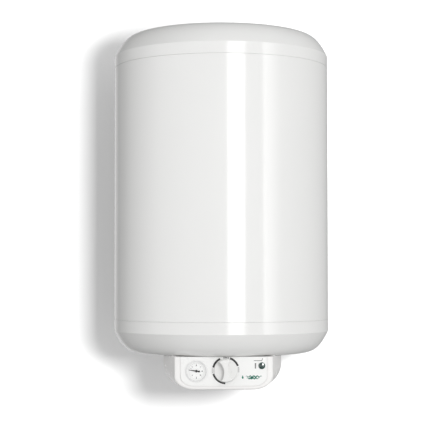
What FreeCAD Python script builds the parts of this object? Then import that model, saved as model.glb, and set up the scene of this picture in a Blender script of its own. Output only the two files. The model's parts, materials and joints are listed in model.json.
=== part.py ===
import FreeCAD, Part
import math
import os
from FreeCAD import Vector

# A wall-hung storage water heater. X runs across, Z up, and the wall is the
# plane Y = 0 with the heater in front of it, at negative Y. The origin lies on
# the wall, midway between the two slots that the heater hangs from.
#
# Most pieces are placed by three distances: x across, out in front of the
# tank's axis, and s above the seam between the jacket and the bottom cap.

# ---------------------------------------------------------------------------
# Driving dimensions, millimetres
# ---------------------------------------------------------------------------

# Clearances
CLEAR = 0.3                 # between neighbours that do not fit each other
SNUG = 0.1                  # round what is welded, pressed or screwed in
RUNNING = 0.06              # radial, round a shaft that turns

# Jacket
JACKET_R = 225.0
JACKET_T = 0.8
JACKET_LENGTH = 528.0       # from seam to seam
WALL_GAP = 22.0             # from the jacket to the wall
SLOTS_BELOW_TOP_SEAM = 120.0

# Lap seam at the back of the jacket
SEAM_STRIP_WIDTH = 24.0
SEAM_STRIP_T = 0.8
SEAM_STRIP_ANGLE = 37.0     # degrees from the middle of the back
SEAM_STRIP_END_GAP = 8.0
RIVET_COUNT = 8
RIVET_SHANK_R = 1.6
RIVET_HEAD_R = 3.3
RIVET_HEAD_H = 1.4
RIVET_TAIL = 2.0            # past the jacket, in the foam

# Caps: a straight skirt, a crease, a turned shoulder and a shallow crown
CAP_T = 2.0
CAP_SKIRT = 24.5
CAP_SHOULDER_R = 46.0       # how far the shoulder reaches inwards
CAP_SHOULDER_H = 44.5
CAP_CREASE_ANGLE = 26.0     # degrees from vertical, just past the crease
CAP_CREASE_PULL = 28.0
CAP_CROWN_PULL = 22.5
CAP_CROWN_RISE = 10.0
SEAM_GROOVE = 0.8           # open groove between a cap and the jacket
SPIGOT_LENGTH = 14.0        # the cap's rim that goes inside the jacket
SPIGOT_ROOT = 4.0
CAP_OPENING_R = 80.0        # in the bottom cap, round the flange

# Tank
FOAM_T = 30.0               # between the jacket and the tank
TANK_T = 2.0
TANK_INSET = 20.0           # from a seam to where the tank's head begins
TANK_HEAD_H = 60.0
NECK_R = 52.0
NECK_T = 2.0

# Flange under the tank
FLANGE_RING_R = 72.5
FLANGE_RING_T = 8.0
FLANGE_FACE_S = -74.0       # the ring's sealing face
GASKET_T = 3.0
PLATE_T = 6.0
FLANGE_STUD_COUNT = 6
FLANGE_STUD_PCD = 120.0
FLANGE_STUD_R = 4.0
FLANGE_STUD_END = 13.0      # past the plate
FLANGE_NUT_AF = 13.0
FLANGE_NUT_H = 6.5
FLANGE_WASHER_R = 8.0
FLANGE_WASHER_T = 1.6

# Heating elements: two hairpins
ELEMENT_R = 4.1
ELEMENT_LEG_X = 12.0
ELEMENT_LEG_OUT = 22.0
ELEMENT_TOP_S = 205.0
ELEMENT_TAIL = 2.0          # past the plate
CERAMIC_R = 5.2
CERAMIC_H = 7.0
ELEMENT_PIN_R = 1.6
ELEMENT_PIN_H = 12.0

# Anode, thermowell and the two sensing bulbs
ANODE_X = 30.0
ANODE_R = 10.5
ANODE_LENGTH = 380.0
ANODE_STUD_R = 4.0
ANODE_STUD_H = 18.0
WELL_X = -28.0
WELL_R = 7.0
WELL_T = 0.8
WELL_LENGTH = 300.0
WELL_LIP_R = 9.0
WELL_LIP_T = 1.2
BULB_R = 2.9
BULB_LENGTH = 110.0
BULB_PITCH = 6.1
BULB_ABOVE_PLATE = 150.0
CAPILLARY_R = 0.9

# Water pipes, with G 1/2 ends
PIPE_R = 10.65
PIPE_THREAD_R = 10.4775
PIPE_THREAD_LENGTH = 16.0
PIPE_BORE_R = 7.5
PIPE_X = 50.0
PIPE_OUT = -105.0
PIPE_END_S = -103.0
PIPE_CHAMFER = 1.2
HOT_PIPE_TOP_BELOW_HEAD = 20.0
COLD_PIPE_TOP_S = 10.0
PIPE_HOLE_R = 13.0          # in the bottom cap
COLLAR_R = 17.0
COLLAR_DROP = 5.0
DIFFUSER_R = 14.0
DIFFUSER_H = 22.0
DIFFUSER_T = 3.0
DIFFUSER_SLOT_W = 5.0
DIFFUSER_SLOT_H = 6.0

# Control housing under the bottom cap
FACE_SETBACK = 47.0         # the housing's face, behind the jacket's front
COVER_BOTTOM_S = -134.5
COVER_T = 2.5
COVER_FACE_T = 3.6
COVER_FACE_HALF = 97.0
COVER_FACE_CORNER = (40.0, 26.0)
COVER_FLANK = 85.0          # depth over which the flanks spread
COVER_HALF = 120.0
COVER_CORNER = (48.0, 48.0)
COVER_REAR_OUT = -75.0
COVER_TOP_S = -40.0         # inside the cap, before the cap's shape is cut away
COVER_EDGE_R = 4.0
COVER_LEDGE_DEPTH = 20.0    # the neck above the face stands this far behind it
COVER_SCREW_X = 66.0
COVER_SCREW_OUTS = (70.0, -58.0)
COVER_SCREW_R = 2.0
COVER_SCREW_HEAD_R = 4.0
COVER_SCREW_HEAD_H = 2.2
COVER_SCREW_LENGTH = 16.0
COVER_POST_R = 5.0

# Fascia panel, let into the housing's face
FASCIA_SIDE_MARGIN = 10.5
FASCIA_BOTTOM_MARGIN = 7.0
FASCIA_CORNER = (27.0, 20.0)
FASCIA_GROOVE = 0.7
FASCIA_RECESS = 1.4
FASCIA_PROUD = 0.6
FASCIA_EDGE_R = 0.5

# Thermometer, heights measured up from the housing's bottom
THERMO_X = -54.0
THERMO_UP = 37.0
THERMO_CASE_R = 20.1
THERMO_BEZEL_RIM = 1.15     # how far the bezel stands out round the case
THERMO_LIP_COVER = 0.6      # how far its lip reaches in over the glass
THERMO_BEZEL_R = THERMO_CASE_R + THERMO_BEZEL_RIM
THERMO_LIP_R = THERMO_CASE_R - THERMO_LIP_COVER
THERMO_BEZEL_H = 2.2
THERMO_LIP_T = 0.6
THERMO_CASE_T = 0.8
THERMO_CASE_DEPTH = 16.0
THERMO_GLASS_T = 1.0
THERMO_DIAL_T = 0.6
THERMO_DIAL_SINK = 2.4      # the dial's face, behind the fascia's face
NEEDLE_REACH = 15.0
NEEDLE_TAIL = 5.2
NEEDLE_ROOT_W = 2.6
NEEDLE_TIP_W = 1.0
NEEDLE_TAIL_R = 1.9
NEEDLE_T = 0.5
NEEDLE_HUB_R = 2.6
NEEDLE_HUB_H = 1.0
NEEDLE_ARBOR_R = 0.7
NEEDLE_ARBOR_DEPTH = 6.0
NEEDLE_ANGLE = 172.0        # degrees from 3 o'clock, anticlockwise seen from the front
DIAL_BOSS_R = 4.0

# Knob and capillary thermostat
KNOB_X = 4.0
KNOB_UP = 38.5
KNOB_R = 23.25
KNOB_LIFT = 0.8             # from the fascia to the knob
KNOB_SKIRT_H = 5.0
KNOB_GRIP_H = 11.0          # above the skirt
KNOB_GRIP_MARGIN = 1.2
KNOB_SKIRT_EDGE_R = 1.0
KNOB_GRIP_EDGE_R = 1.6
KNOB_WAIST = 8.5
KNOB_SCOOP_R = 27.4
KNOB_LEAN = 7.0             # degrees, anticlockwise seen from the front
KNOB_HOLLOW_R = 20.3
KNOB_HOLLOW_H = 3.6
KNOB_HUB_R = 6.0
SPINDLE_R = 3.0
SPINDLE_FLAT = 1.5          # depth of the flat
SPINDLE_IN_KNOB = 11.0
SPINDLE_IN_BODY = 12.0
THERMOSTAT_W = 36.0
THERMOSTAT_DEPTH = 28.0
THERMOSTAT_NECK_R = 4.8
THERMOSTAT_SCREW_SPACING = 28.0
THERMOSTAT_SCREW_R = 2.0
THERMOSTAT_SCREW_HEAD_R = 3.5
THERMOSTAT_SCREW_HEAD_H = 1.8
THERMOSTAT_SCREW_LENGTH = 12.0

# Heating lamp
LAMP_X = 75.5
LAMP_UP = 47.5
LENS_R = 6.75
LENS_DOME_H = 3.2
LENS_RIM_H = 0.8
LENS_SHANK_R = 5.0
LENS_SHANK_T = 1.2
LENS_SHANK_DEPTH = 11.0
LAMP_R = 3.3
LAMP_LENGTH = 16.0
LAMP_CLIP_R = 7.5
LAMP_CLIP_T = 2.4

# Safety cut-out under the flange plate
CUTOUT_W = 34.0
CUTOUT_OUTS = (-51.0, -29.0)
CUTOUT_H = 26.0
CUTOUT_FLOOR_T = 2.5
BUTTON_R = 3.5
BUTTON_STICKS_OUT = 4.5
BUTTON_COLLAR_R = 5.0
BUTTON_COLLAR_T = 1.5
BUTTON_TRAVEL = 2.5

# Wiring
BLOCK_X = (22.0, 58.0)
BLOCK_OUT = (-66.0, -46.0)
BLOCK_H = 17.0
BLOCK_WAYS = 3
BLOCK_SCREW_R = 2.4
WIRE_R = 1.2
WIRE_BEND = 5.0
EARTH_X = -39.0
EARTH_OUT = -22.5
EARTH_HEAD_AF = 8.0
EARTH_HEAD_H = 4.0
EARTH_SHANK_R = 2.5
GLAND_X = 85.0
GLAND_S = -108.0
GLAND_THREAD_R = 10.0
GLAND_BORE_R = 5.0
GLAND_AF = 24.0
GLAND_HEX_H = 6.0
GLAND_NOSE_R = 9.5
GLAND_NOSE_H = 10.0
GLAND_INSIDE = 10.5
GLAND_NUT_T = 4.5

# Wall brackets
BRACKET_T = 4.0
BRACKET_HALF_ANGLE = 22.0
BRACKET_LEG_RUN = 10.0
BRACKET_H = 70.0
SADDLE_GAP = 0.2
SLOT_SPACING = 260.0
SLOT_W = 12.0
SLOT_LENGTH = 26.0
EAR_PAST_SLOT = 30.0
LOWER_BRACKET_S = 70.0
LOWER_EAR_GAP = 8.0         # filled by the rubber bumpers
BUMPER_R = 14.0
BUMPER_SHANK_R = 4.0
BUMPER_BARB_R = 6.0
BUMPER_BARB_H = 3.0
BRACKET_STUD_R = 5.0
BRACKET_STUD_OFFSET = 20.0
BRACKET_STUD_END = 6.0      # from the wall
SPACER_R = 10.0
BRACKET_WASHER_R = 10.0
BRACKET_WASHER_T = 2.0
BRACKET_NUT_AF = 17.0
BRACKET_NUT_H = 8.0

# Rating plate, blank
PLATE_LABEL_W = 80.0
PLATE_LABEL_H = 52.0
PLATE_LABEL_T = 0.3
PLATE_LABEL_ANGLE = 62.0    # degrees from the middle of the back, towards +X
PLATE_LABEL_S = 150.0

# ---------------------------------------------------------------------------
# Sizes and places that follow from them
# ---------------------------------------------------------------------------

AXIS_Y = -(WALL_GAP + JACKET_R)
SEAM_Z = SLOTS_BELOW_TOP_SEAM - JACKET_LENGTH
JACKET_BORE_R = JACKET_R - JACKET_T
SPIGOT_R = JACKET_BORE_R - CLEAR
TANK_R = JACKET_R - FOAM_T
PLATE_TOP_S = FLANGE_FACE_S - GASKET_T
PLATE_FOOT_S = PLATE_TOP_S - PLATE_T
FACE_OUT = JACKET_R - FACE_SETBACK
FACE_BACK_OUT = FACE_OUT - COVER_FACE_T
FASCIA_OUT = FACE_OUT + FASCIA_PROUD
FLOOR_S = COVER_BOTTOM_S + COVER_T
CROWN_R = JACKET_R - CAP_SHOULDER_R
DOME_R = (CROWN_R ** 2 + CAP_CROWN_RISE ** 2) / (2 * CAP_CROWN_RISE)
CROWN_FOOT_S = -(CAP_SKIRT + CAP_SHOULDER_H + CAP_CROWN_RISE)
LEDGE_S = CROWN_FOOT_S + DOME_R - math.sqrt(DOME_R ** 2 - FACE_OUT ** 2)    # where face and cap meet
THERMO_S = COVER_BOTTOM_S + THERMO_UP
KNOB_S = COVER_BOTTOM_S + KNOB_UP
LAMP_S = COVER_BOTTOM_S + LAMP_UP
DIAL_OUT = FASCIA_OUT - THERMO_DIAL_SINK
CASE_BACK_OUT = FASCIA_OUT - THERMO_CASE_DEPTH
THERMOSTAT_BACK_OUT = FACE_BACK_OUT - THERMOSTAT_DEPTH
CUTOUT_OUT = sum(CUTOUT_OUTS) / 2
CUTOUT_FOOT_S = PLATE_FOOT_S - CUTOUT_H
ELEMENT_FOOT_S = PLATE_FOOT_S - ELEMENT_TAIL
CERAMIC_FOOT_S = ELEMENT_FOOT_S - CERAMIC_H
PIN_FOOT_S = CERAMIC_FOOT_S - ELEMENT_PIN_H
UPPER_BRACKET_S = JACKET_LENGTH - SLOTS_BELOW_TOP_SEAM
BULB_FOOT_S = PLATE_TOP_S + BULB_ABOVE_PLATE

UP = Vector(0, 0, 1)
FRONT = Vector(0, -1, 0)
BACK = Vector(0, 1, 0)
CIRCLE_PULL = 0.5523        # handle of a quarter circle drawn as one cubic curve


# ---------------------------------------------------------------------------
# Helpers
# ---------------------------------------------------------------------------

def spot(x, out, s):
    """A point x across, out in front of the tank's axis, s above the bottom seam."""
    return Vector(x, AXIS_Y - out, SEAM_Z + s)


def upright(x, out, low, high, radius):
    """A vertical cylinder between two heights."""
    return Part.makeCylinder(radius, high - low, spot(x, out, low), UP)


def level(x, s, back, front, radius):
    """A cylinder that points forwards, between two distances from the axis."""
    return Part.makeCylinder(radius, front - back, spot(x, back, s), FRONT)


def block(xs, outs, heights):
    """A box between pairs of limits across, forwards and upwards."""
    corner = spot(min(xs), max(outs), min(heights))
    return Part.makeBox(max(xs) - min(xs), max(outs) - min(outs), max(heights) - min(heights), corner)


def hexagon(centre, direction, across_flats, height):
    """A hexagonal prism that rises from centre along direction."""
    radius = across_flats / math.sqrt(3)
    turns = [k * math.pi / 3 for k in range(7)]
    corners = [Vector(radius * math.cos(turn), radius * math.sin(turn), 0) for turn in turns]
    prism = Part.Face(Part.makePolygon(corners)).extrude(Vector(0, 0, height))
    prism.Placement = FreeCAD.Placement(centre, FreeCAD.Rotation(UP, direction))
    return prism


def line(start, end):
    """A straight edge."""
    return Part.LineSegment(start, end).toShape()


def bezier(*poles):
    """A smooth edge drawn by its poles."""
    curve = Part.BezierCurve()
    curve.setPoles(list(poles))
    return curve.toShape()


def spun(edges):
    """The solid that a closed outline sweeps round the tank's axis."""
    return Part.Face(Part.Wire(edges)).revolve(spot(0, 0, 0), UP, 360)


def sector(inner_r, outer_r, middle, half_angle, low, high):
    """A curved strip round the tank's axis. Angles are in degrees from the back, towards +X."""
    ring = Part.makeCylinder(outer_r, high - low, spot(0, 0, low), UP, 2 * half_angle)
    ring = ring.cut(upright(0, 0, low - 1, high + 1, inner_r))
    ring.rotate(spot(0, 0, 0), UP, 90 - middle - half_angle)
    return ring


def polar(radius, angle):
    """A point (x, out) at an angle in degrees from the back, towards +X."""
    turn = math.radians(angle)
    return radius * math.sin(turn), -radius * math.cos(turn)


def rounded_path(points, bend):
    """A wire through the points whose corners are arcs of one radius."""
    edges = []
    start = points[0]
    for before, corner, after in zip(points, points[1:], points[2:]):
        arriving = (corner - before).normalize()
        leaving = (after - corner).normalize()
        half_turn = arriving.getAngle(leaving) / 2
        inwards = (leaving - arriving).normalize()
        trim = bend * math.tan(half_turn)
        centre = corner + inwards * (bend / math.cos(half_turn))
        arc_start = corner - arriving * trim
        arc_end = corner + leaving * trim
        edges.append(line(start, arc_start))
        edges.append(Part.Arc(arc_start, centre - inwards * bend, arc_end).toShape())
        start = arc_end
    edges.append(line(start, points[-1]))
    return Part.Wire(edges)


def swept(path, start, direction, radius):
    """A round bar along a wire."""
    ring = Part.Wire(Part.makeCircle(radius, start, direction))
    return path.makePipeShell([ring], True, False)


def tube_along(points, radius, bend):
    """A round bar through points with rounded corners."""
    return swept(rounded_path(points, bend), points[0], points[1] - points[0], radius)


# ---------------------------------------------------------------------------
# Jacket and caps
# ---------------------------------------------------------------------------

def cap_form(grow, seam_s, up, start_h):
    """The solid inside a cap's outer line, moved outwards by grow.

    up is 1 for the top cap and -1 for the bottom one; heights count away
    from the seam."""
    def point(r, h):
        return spot(r, 0, seam_s + up * h)

    crease_angle = math.radians(CAP_CREASE_ANGLE)
    skirt_r = JACKET_R + grow
    crease_h = CAP_SKIRT + grow
    crown_r = skirt_r - CAP_SHOULDER_R
    crown_h = crease_h + CAP_SHOULDER_H
    crown_top = crown_h + CAP_CROWN_RISE
    dome_r = (crown_r ** 2 + CAP_CROWN_RISE ** 2) / (2 * CAP_CROWN_RISE)
    slope = math.asin(crown_r / dome_r)
    middle = point(dome_r * math.sin(slope / 2), crown_top - dome_r * (1 - math.cos(slope / 2)))
    after_crease = point(
        skirt_r - CAP_CREASE_PULL * math.sin(crease_angle),
        crease_h + CAP_CREASE_PULL * math.cos(crease_angle),
    )
    before_crown = point(
        crown_r + CAP_CROWN_PULL * math.cos(slope),
        crown_h - CAP_CROWN_PULL * math.sin(slope),
    )
    return spun([
        line(point(0, start_h), point(skirt_r, start_h)),
        line(point(skirt_r, start_h), point(skirt_r, crease_h)),
        bezier(point(skirt_r, crease_h), after_crease, before_crown, point(crown_r, crown_h)),
        Part.Arc(point(crown_r, crown_h), middle, point(0, crown_top)).toShape(),
        line(point(0, crown_top), point(0, start_h)),
    ])


def ring(low, high, inner_r, outer_r):
    """A tube round the tank's axis."""
    return upright(0, 0, low, high, outer_r).cut(upright(0, 0, low, high, inner_r))


def cap_shell(seam_s, up):
    """A moulded cap with the rim that goes inside the jacket."""
    shell = cap_form(0, seam_s, up, SEAM_GROOVE).cut(cap_form(-CAP_T, seam_s, up, 0))
    ends = (seam_s - up * SPIGOT_LENGTH, seam_s + up * (SEAM_GROOVE + SPIGOT_ROOT))
    rim = ring(min(ends), max(ends), SPIGOT_R - CAP_T, SPIGOT_R)
    return shell.fuse(rim).removeSplitter()


def pipe_places():
    """Places (x, out) of the hot pipe, on the left, and the cold pipe."""
    return (-PIPE_X, PIPE_OUT), (PIPE_X, PIPE_OUT)


def cover_screw_places():
    """Places (x, out) of the screws that hold the control housing up."""
    return [(side * COVER_SCREW_X, out) for side in (-1, 1) for out in COVER_SCREW_OUTS]


def bottom_cap():
    """The lower cap, open round the flange, with pipe holes and four screw posts."""
    cap = cap_shell(0, -1)
    inside = cap_form(-CAP_T / 2, 0, -1, 0)
    for x, out in cover_screw_places():
        post = upright(x, out, FLOOR_S, -CAP_SKIRT, COVER_POST_R).cut(inside)
        cap = cap.fuse(post)
    for x, out in cover_screw_places():
        cap = cap.cut(upright(x, out, FLOOR_S, FLOOR_S + COVER_SCREW_LENGTH, COVER_SCREW_R + SNUG))
    for x, out in pipe_places():
        cap = cap.cut(upright(x, out, PIPE_END_S, 0, PIPE_HOLE_R))
    return cap.cut(upright(0, 0, COVER_BOTTOM_S, 0, CAP_OPENING_R))


def stud_heights(middle_s):
    """Heights of a bracket's two studs."""
    return middle_s - BRACKET_STUD_OFFSET, middle_s + BRACKET_STUD_OFFSET


def all_stud_heights():
    """Heights of the studs of both brackets."""
    return stud_heights(UPPER_BRACKET_S) + stud_heights(LOWER_BRACKET_S)


def rivet_heights():
    """Heights of the rivets, evenly spaced along the lap."""
    length = JACKET_LENGTH - 2 * SEAM_STRIP_END_GAP
    return [SEAM_STRIP_END_GAP + length * (k + 0.5) / RIVET_COUNT for k in range(RIVET_COUNT)]


def rivet_bar(s, inner_r, outer_r, radius):
    """A round bar that stands out of the jacket along a rivet's line."""
    x, out = polar(inner_r, -SEAM_STRIP_ANGLE)
    far_x, far_out = polar(outer_r, -SEAM_STRIP_ANGLE)
    direction = spot(far_x, far_out, s) - spot(x, out, s)
    return Part.makeCylinder(radius, outer_r - inner_r, spot(x, out, s), direction)


def outer_jacket():
    """The rolled sheet, with holes for the rivets and the bracket studs."""
    jacket = ring(0, JACKET_LENGTH, JACKET_BORE_R, JACKET_R)
    holes = [rivet_bar(s, JACKET_BORE_R - 1, JACKET_R + 1, RIVET_SHANK_R + SNUG) for s in rivet_heights()]
    holes += [level(0, s, -JACKET_R - 1, -TANK_R, BRACKET_STUD_R + CLEAR) for s in all_stud_heights()]
    return jacket.cut(holes)


def jacket_seam_strip():
    """The strip that laps the rolled sheet's joint."""
    inner = JACKET_R + SNUG
    half_angle = math.degrees(SEAM_STRIP_WIDTH / 2 / JACKET_R)
    low, high = SEAM_STRIP_END_GAP, JACKET_LENGTH - SEAM_STRIP_END_GAP
    strip = sector(inner, inner + SEAM_STRIP_T, -SEAM_STRIP_ANGLE, half_angle, low, high)
    holes = [rivet_bar(s, JACKET_BORE_R, JACKET_R + 5, RIVET_SHANK_R + SNUG) for s in rivet_heights()]
    return strip.cut(holes)


def jacket_rivets():
    """Blind rivets with domed heads."""
    seat_r = JACKET_R + SNUG + SEAM_STRIP_T
    rivets = []
    for s in rivet_heights():
        head = rivet_bar(s, seat_r, seat_r + RIVET_HEAD_H, RIVET_HEAD_R)
        rim = [e for e in head.Edges if e.Curve.TypeId == "Part::GeomCircle" and edge_radius(e) > seat_r + 1]
        head = head.makeFillet(RIVET_HEAD_H * 0.7, rim)
        rivets.append(head.fuse(rivet_bar(s, JACKET_BORE_R - RIVET_TAIL, seat_r, RIVET_SHANK_R)))
    return Part.makeCompound(rivets)


def edge_radius(edge):
    """How far a circle's centre lies from the tank's axis."""
    return math.hypot(edge.Curve.Center.x, edge.Curve.Center.y - AXIS_Y)


def rating_plate():
    """A blank foil plate on the jacket's side."""
    inner = JACKET_R + SNUG
    half_angle = math.degrees(PLATE_LABEL_W / 2 / JACKET_R)
    low, high = PLATE_LABEL_S, PLATE_LABEL_S + PLATE_LABEL_H
    return sector(inner, inner + PLATE_LABEL_T, PLATE_LABEL_ANGLE, half_angle, low, high)


# ---------------------------------------------------------------------------
# Tank and foam
# ---------------------------------------------------------------------------

def tank_form(grow):
    """The solid inside the tank's outer surface, moved outwards by grow."""
    r = TANK_R + grow
    head = TANK_HEAD_H + grow
    low, high = TANK_INSET, JACKET_LENGTH - TANK_INSET
    pull_r, pull_h = CIRCLE_PULL * r, CIRCLE_PULL * head
    foot, crown = spot(0, 0, low - head), spot(0, 0, high + head)
    return spun([
        bezier(foot, spot(pull_r, 0, low - head), spot(r, 0, low - pull_h), spot(r, 0, low)),
        line(spot(r, 0, low), spot(r, 0, high)),
        bezier(spot(r, 0, high), spot(r, 0, high + pull_h), spot(pull_r, 0, high + head), crown),
        line(crown, foot),
    ])


def tank_shell():
    """The welded tank with its neck and pipe holes."""
    inside = tank_form(-TANK_T)
    neck = upright(0, 0, FLANGE_FACE_S + SNUG, 0, NECK_R).cut(inside)
    shell = tank_form(0).cut(inside).fuse(neck)
    shell = shell.cut(upright(0, 0, FLANGE_FACE_S, 0, NECK_R - NECK_T))
    return shell.cut([upright(x, out, PIPE_END_S, 0, PIPE_R + SNUG) for x, out in pipe_places()])


def foam_shell():
    """The foam between the tank, the jacket and the caps."""
    gap = CAP_T + CLEAR
    root_h = SEAM_GROOVE + SPIGOT_ROOT + CLEAR
    rim_h = SPIGOT_LENGTH + CLEAR
    foam = cap_form(-gap, 0, -1, root_h)
    foam = foam.fuse([
        cap_form(-gap, JACKET_LENGTH, 1, root_h),
        upright(0, 0, -root_h, JACKET_LENGTH + root_h, SPIGOT_R - gap),
        upright(0, 0, rim_h, JACKET_LENGTH - rim_h, JACKET_BORE_R - CLEAR),
    ])
    hollows = [
        tank_form(CLEAR),
        upright(0, 0, FLANGE_FACE_S, 0, NECK_R + CLEAR),
        upright(0, 0, COVER_BOTTOM_S, FLANGE_FACE_S + FLANGE_RING_T + CLEAR, CAP_OPENING_R),
    ]
    hollows += [upright(x, out, PIPE_END_S, 0, PIPE_R + CLEAR) for x, out in pipe_places()]
    hollows += [level(0, s, -JACKET_R, 0, SPACER_R + CLEAR) for s in all_stud_heights()]
    tail_r = JACKET_BORE_R - RIVET_TAIL - CLEAR
    hollows += [rivet_bar(s, tail_r, JACKET_R, RIVET_SHANK_R + CLEAR) for s in rivet_heights()]
    return foam.cut(hollows)


# ---------------------------------------------------------------------------
# Flange and what it carries
# ---------------------------------------------------------------------------

def flange_stud_places():
    """Places (x, out) of the flange's studs."""
    step = 2 * math.pi / FLANGE_STUD_COUNT
    radius = FLANGE_STUD_PCD / 2
    return [(radius * math.cos(k * step), radius * math.sin(k * step)) for k in range(FLANGE_STUD_COUNT)]


def flange_disc(low, high, inner_r, hole_r):
    """A ring of the flange with its stud holes."""
    disc = upright(0, 0, low, high, FLANGE_RING_R)
    cuts = [upright(x, out, low, high, hole_r) for x, out in flange_stud_places()]
    if inner_r:
        cuts.append(upright(0, 0, low, high, inner_r))
    return disc.cut(cuts)


def flange_ring():
    """The ring welded round the tank's neck."""
    return flange_disc(FLANGE_FACE_S, FLANGE_FACE_S + FLANGE_RING_T, NECK_R + SNUG, FLANGE_STUD_R + SNUG)


def flange_gasket():
    """The rubber seal between ring and plate."""
    return flange_disc(PLATE_TOP_S, FLANGE_FACE_S, NECK_R - NECK_T, FLANGE_STUD_R + CLEAR)


def element_leg_places():
    """Places (x, out) of the four element legs."""
    return [(x, out) for x in (-ELEMENT_LEG_X, ELEMENT_LEG_X) for out in (-ELEMENT_LEG_OUT, ELEMENT_LEG_OUT)]


def flange_plate():
    """The plate that closes the tank and carries elements, anode and thermowell."""
    plate = flange_disc(PLATE_FOOT_S, PLATE_TOP_S, 0, FLANGE_STUD_R + CLEAR)
    passages = [(x, out, ELEMENT_R) for x, out in element_leg_places()]
    passages += [(ANODE_X, 0, ANODE_STUD_R), (WELL_X, 0, WELL_R), (EARTH_X, EARTH_OUT, EARTH_SHANK_R)]
    return plate.cut([upright(x, out, PLATE_FOOT_S, PLATE_TOP_S, r + SNUG) for x, out, r in passages])


def flange_studs():
    """Studs that stand out of the ring, through gasket and plate."""
    low, high = PLATE_FOOT_S - FLANGE_STUD_END, FLANGE_FACE_S + FLANGE_RING_T
    return Part.makeCompound([upright(x, out, low, high, FLANGE_STUD_R) for x, out in flange_stud_places()])


def flange_washers():
    """Plain washers under the plate."""
    washers = []
    for x, out in flange_stud_places():
        washer = upright(x, out, PLATE_FOOT_S - FLANGE_WASHER_T, PLATE_FOOT_S, FLANGE_WASHER_R)
        hole = upright(x, out, PLATE_FOOT_S - FLANGE_WASHER_T, PLATE_FOOT_S, FLANGE_STUD_R + CLEAR)
        washers.append(washer.cut(hole))
    return Part.makeCompound(washers)


def flange_nuts():
    """Hexagon nuts that pull the plate up."""
    foot = PLATE_FOOT_S - FLANGE_WASHER_T - FLANGE_NUT_H
    nuts = []
    for x, out in flange_stud_places():
        nut = hexagon(spot(x, out, foot), UP, FLANGE_NUT_AF, FLANGE_NUT_H)
        nuts.append(nut.cut(upright(x, out, foot, PLATE_FOOT_S, FLANGE_STUD_R + SNUG)))
    return Part.makeCompound(nuts)


def heating_elements():
    """Two sheathed hairpins that stand up in the water."""
    hairpins = []
    turn_s = ELEMENT_TOP_S - ELEMENT_LEG_X
    for out in (-ELEMENT_LEG_OUT, ELEMENT_LEG_OUT):
        foot, top = spot(-ELEMENT_LEG_X, out, ELEMENT_FOOT_S), spot(-ELEMENT_LEG_X, out, turn_s)
        far_top, far_foot = spot(ELEMENT_LEG_X, out, turn_s), spot(ELEMENT_LEG_X, out, ELEMENT_FOOT_S)
        bend = Part.Arc(top, spot(0, out, ELEMENT_TOP_S), far_top).toShape()
        path = Part.Wire([line(foot, top), bend, line(far_top, far_foot)])
        hairpins.append(swept(path, foot, UP, ELEMENT_R))
    return Part.makeCompound(hairpins)


def element_ceramics():
    """Insulators at the ends of the element legs."""
    ceramics = []
    for x, out in element_leg_places():
        bead = upright(x, out, CERAMIC_FOOT_S, ELEMENT_FOOT_S, CERAMIC_R)
        ceramics.append(bead.cut(upright(x, out, CERAMIC_FOOT_S, ELEMENT_FOOT_S, ELEMENT_PIN_R + SNUG)))
    return Part.makeCompound(ceramics)


def element_terminals():
    """Pins that come out of the ceramics."""
    return Part.makeCompound(
        [upright(x, out, PIN_FOOT_S, ELEMENT_FOOT_S, ELEMENT_PIN_R) for x, out in element_leg_places()]
    )


def anode_rod():
    """The sacrificial rod on its threaded end."""
    rod = upright(ANODE_X, 0, PLATE_TOP_S, PLATE_TOP_S + ANODE_LENGTH, ANODE_R)
    return rod.fuse(upright(ANODE_X, 0, PLATE_TOP_S - ANODE_STUD_H, PLATE_TOP_S, ANODE_STUD_R))


def anode_nut():
    """The nut that holds the anode to the plate."""
    foot = PLATE_FOOT_S - FLANGE_NUT_H
    nut = hexagon(spot(ANODE_X, 0, foot), UP, FLANGE_NUT_AF, FLANGE_NUT_H)
    return nut.cut(upright(ANODE_X, 0, foot, PLATE_FOOT_S, ANODE_STUD_R + SNUG))


def thermowell():
    """The closed tube that keeps the two bulbs dry."""
    top = PLATE_TOP_S + WELL_LENGTH
    well = upright(WELL_X, 0, PLATE_FOOT_S, top, WELL_R)
    well = well.fuse(upright(WELL_X, 0, PLATE_FOOT_S - WELL_LIP_T, PLATE_FOOT_S, WELL_LIP_R))
    return well.cut(upright(WELL_X, 0, PLATE_FOOT_S - WELL_LIP_T, top - WELL_T, WELL_R - WELL_T))


def bulb(side):
    """One sensing bulb in the thermowell."""
    return upright(WELL_X + side * BULB_PITCH / 2, 0, BULB_FOOT_S, BULB_FOOT_S + BULB_LENGTH, BULB_R)


# ---------------------------------------------------------------------------
# Pipes
# ---------------------------------------------------------------------------

def water_pipe(x, top_s):
    """A pipe whose lower end carries the outside thread."""
    thread_top_s = PIPE_END_S + PIPE_THREAD_LENGTH
    thread = upright(x, PIPE_OUT, PIPE_END_S, thread_top_s, PIPE_THREAD_R)
    rim = [e for e in thread.Edges if abs(e.BoundBox.ZMax - SEAM_Z - PIPE_END_S) < 0.01]
    pipe = upright(x, PIPE_OUT, thread_top_s, top_s, PIPE_R).fuse(thread.makeChamfer(PIPE_CHAMFER, rim))
    return pipe.cut(upright(x, PIPE_OUT, PIPE_END_S, top_s, PIPE_BORE_R))


def hot_outlet_pipe():
    """The long pipe that takes water from the top of the tank."""
    radius = math.hypot(PIPE_X, PIPE_OUT)
    head = TANK_HEAD_H * math.sqrt(1 - (radius / TANK_R) ** 2)
    return water_pipe(-PIPE_X, JACKET_LENGTH - TANK_INSET + head - HOT_PIPE_TOP_BELOW_HEAD)


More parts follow.
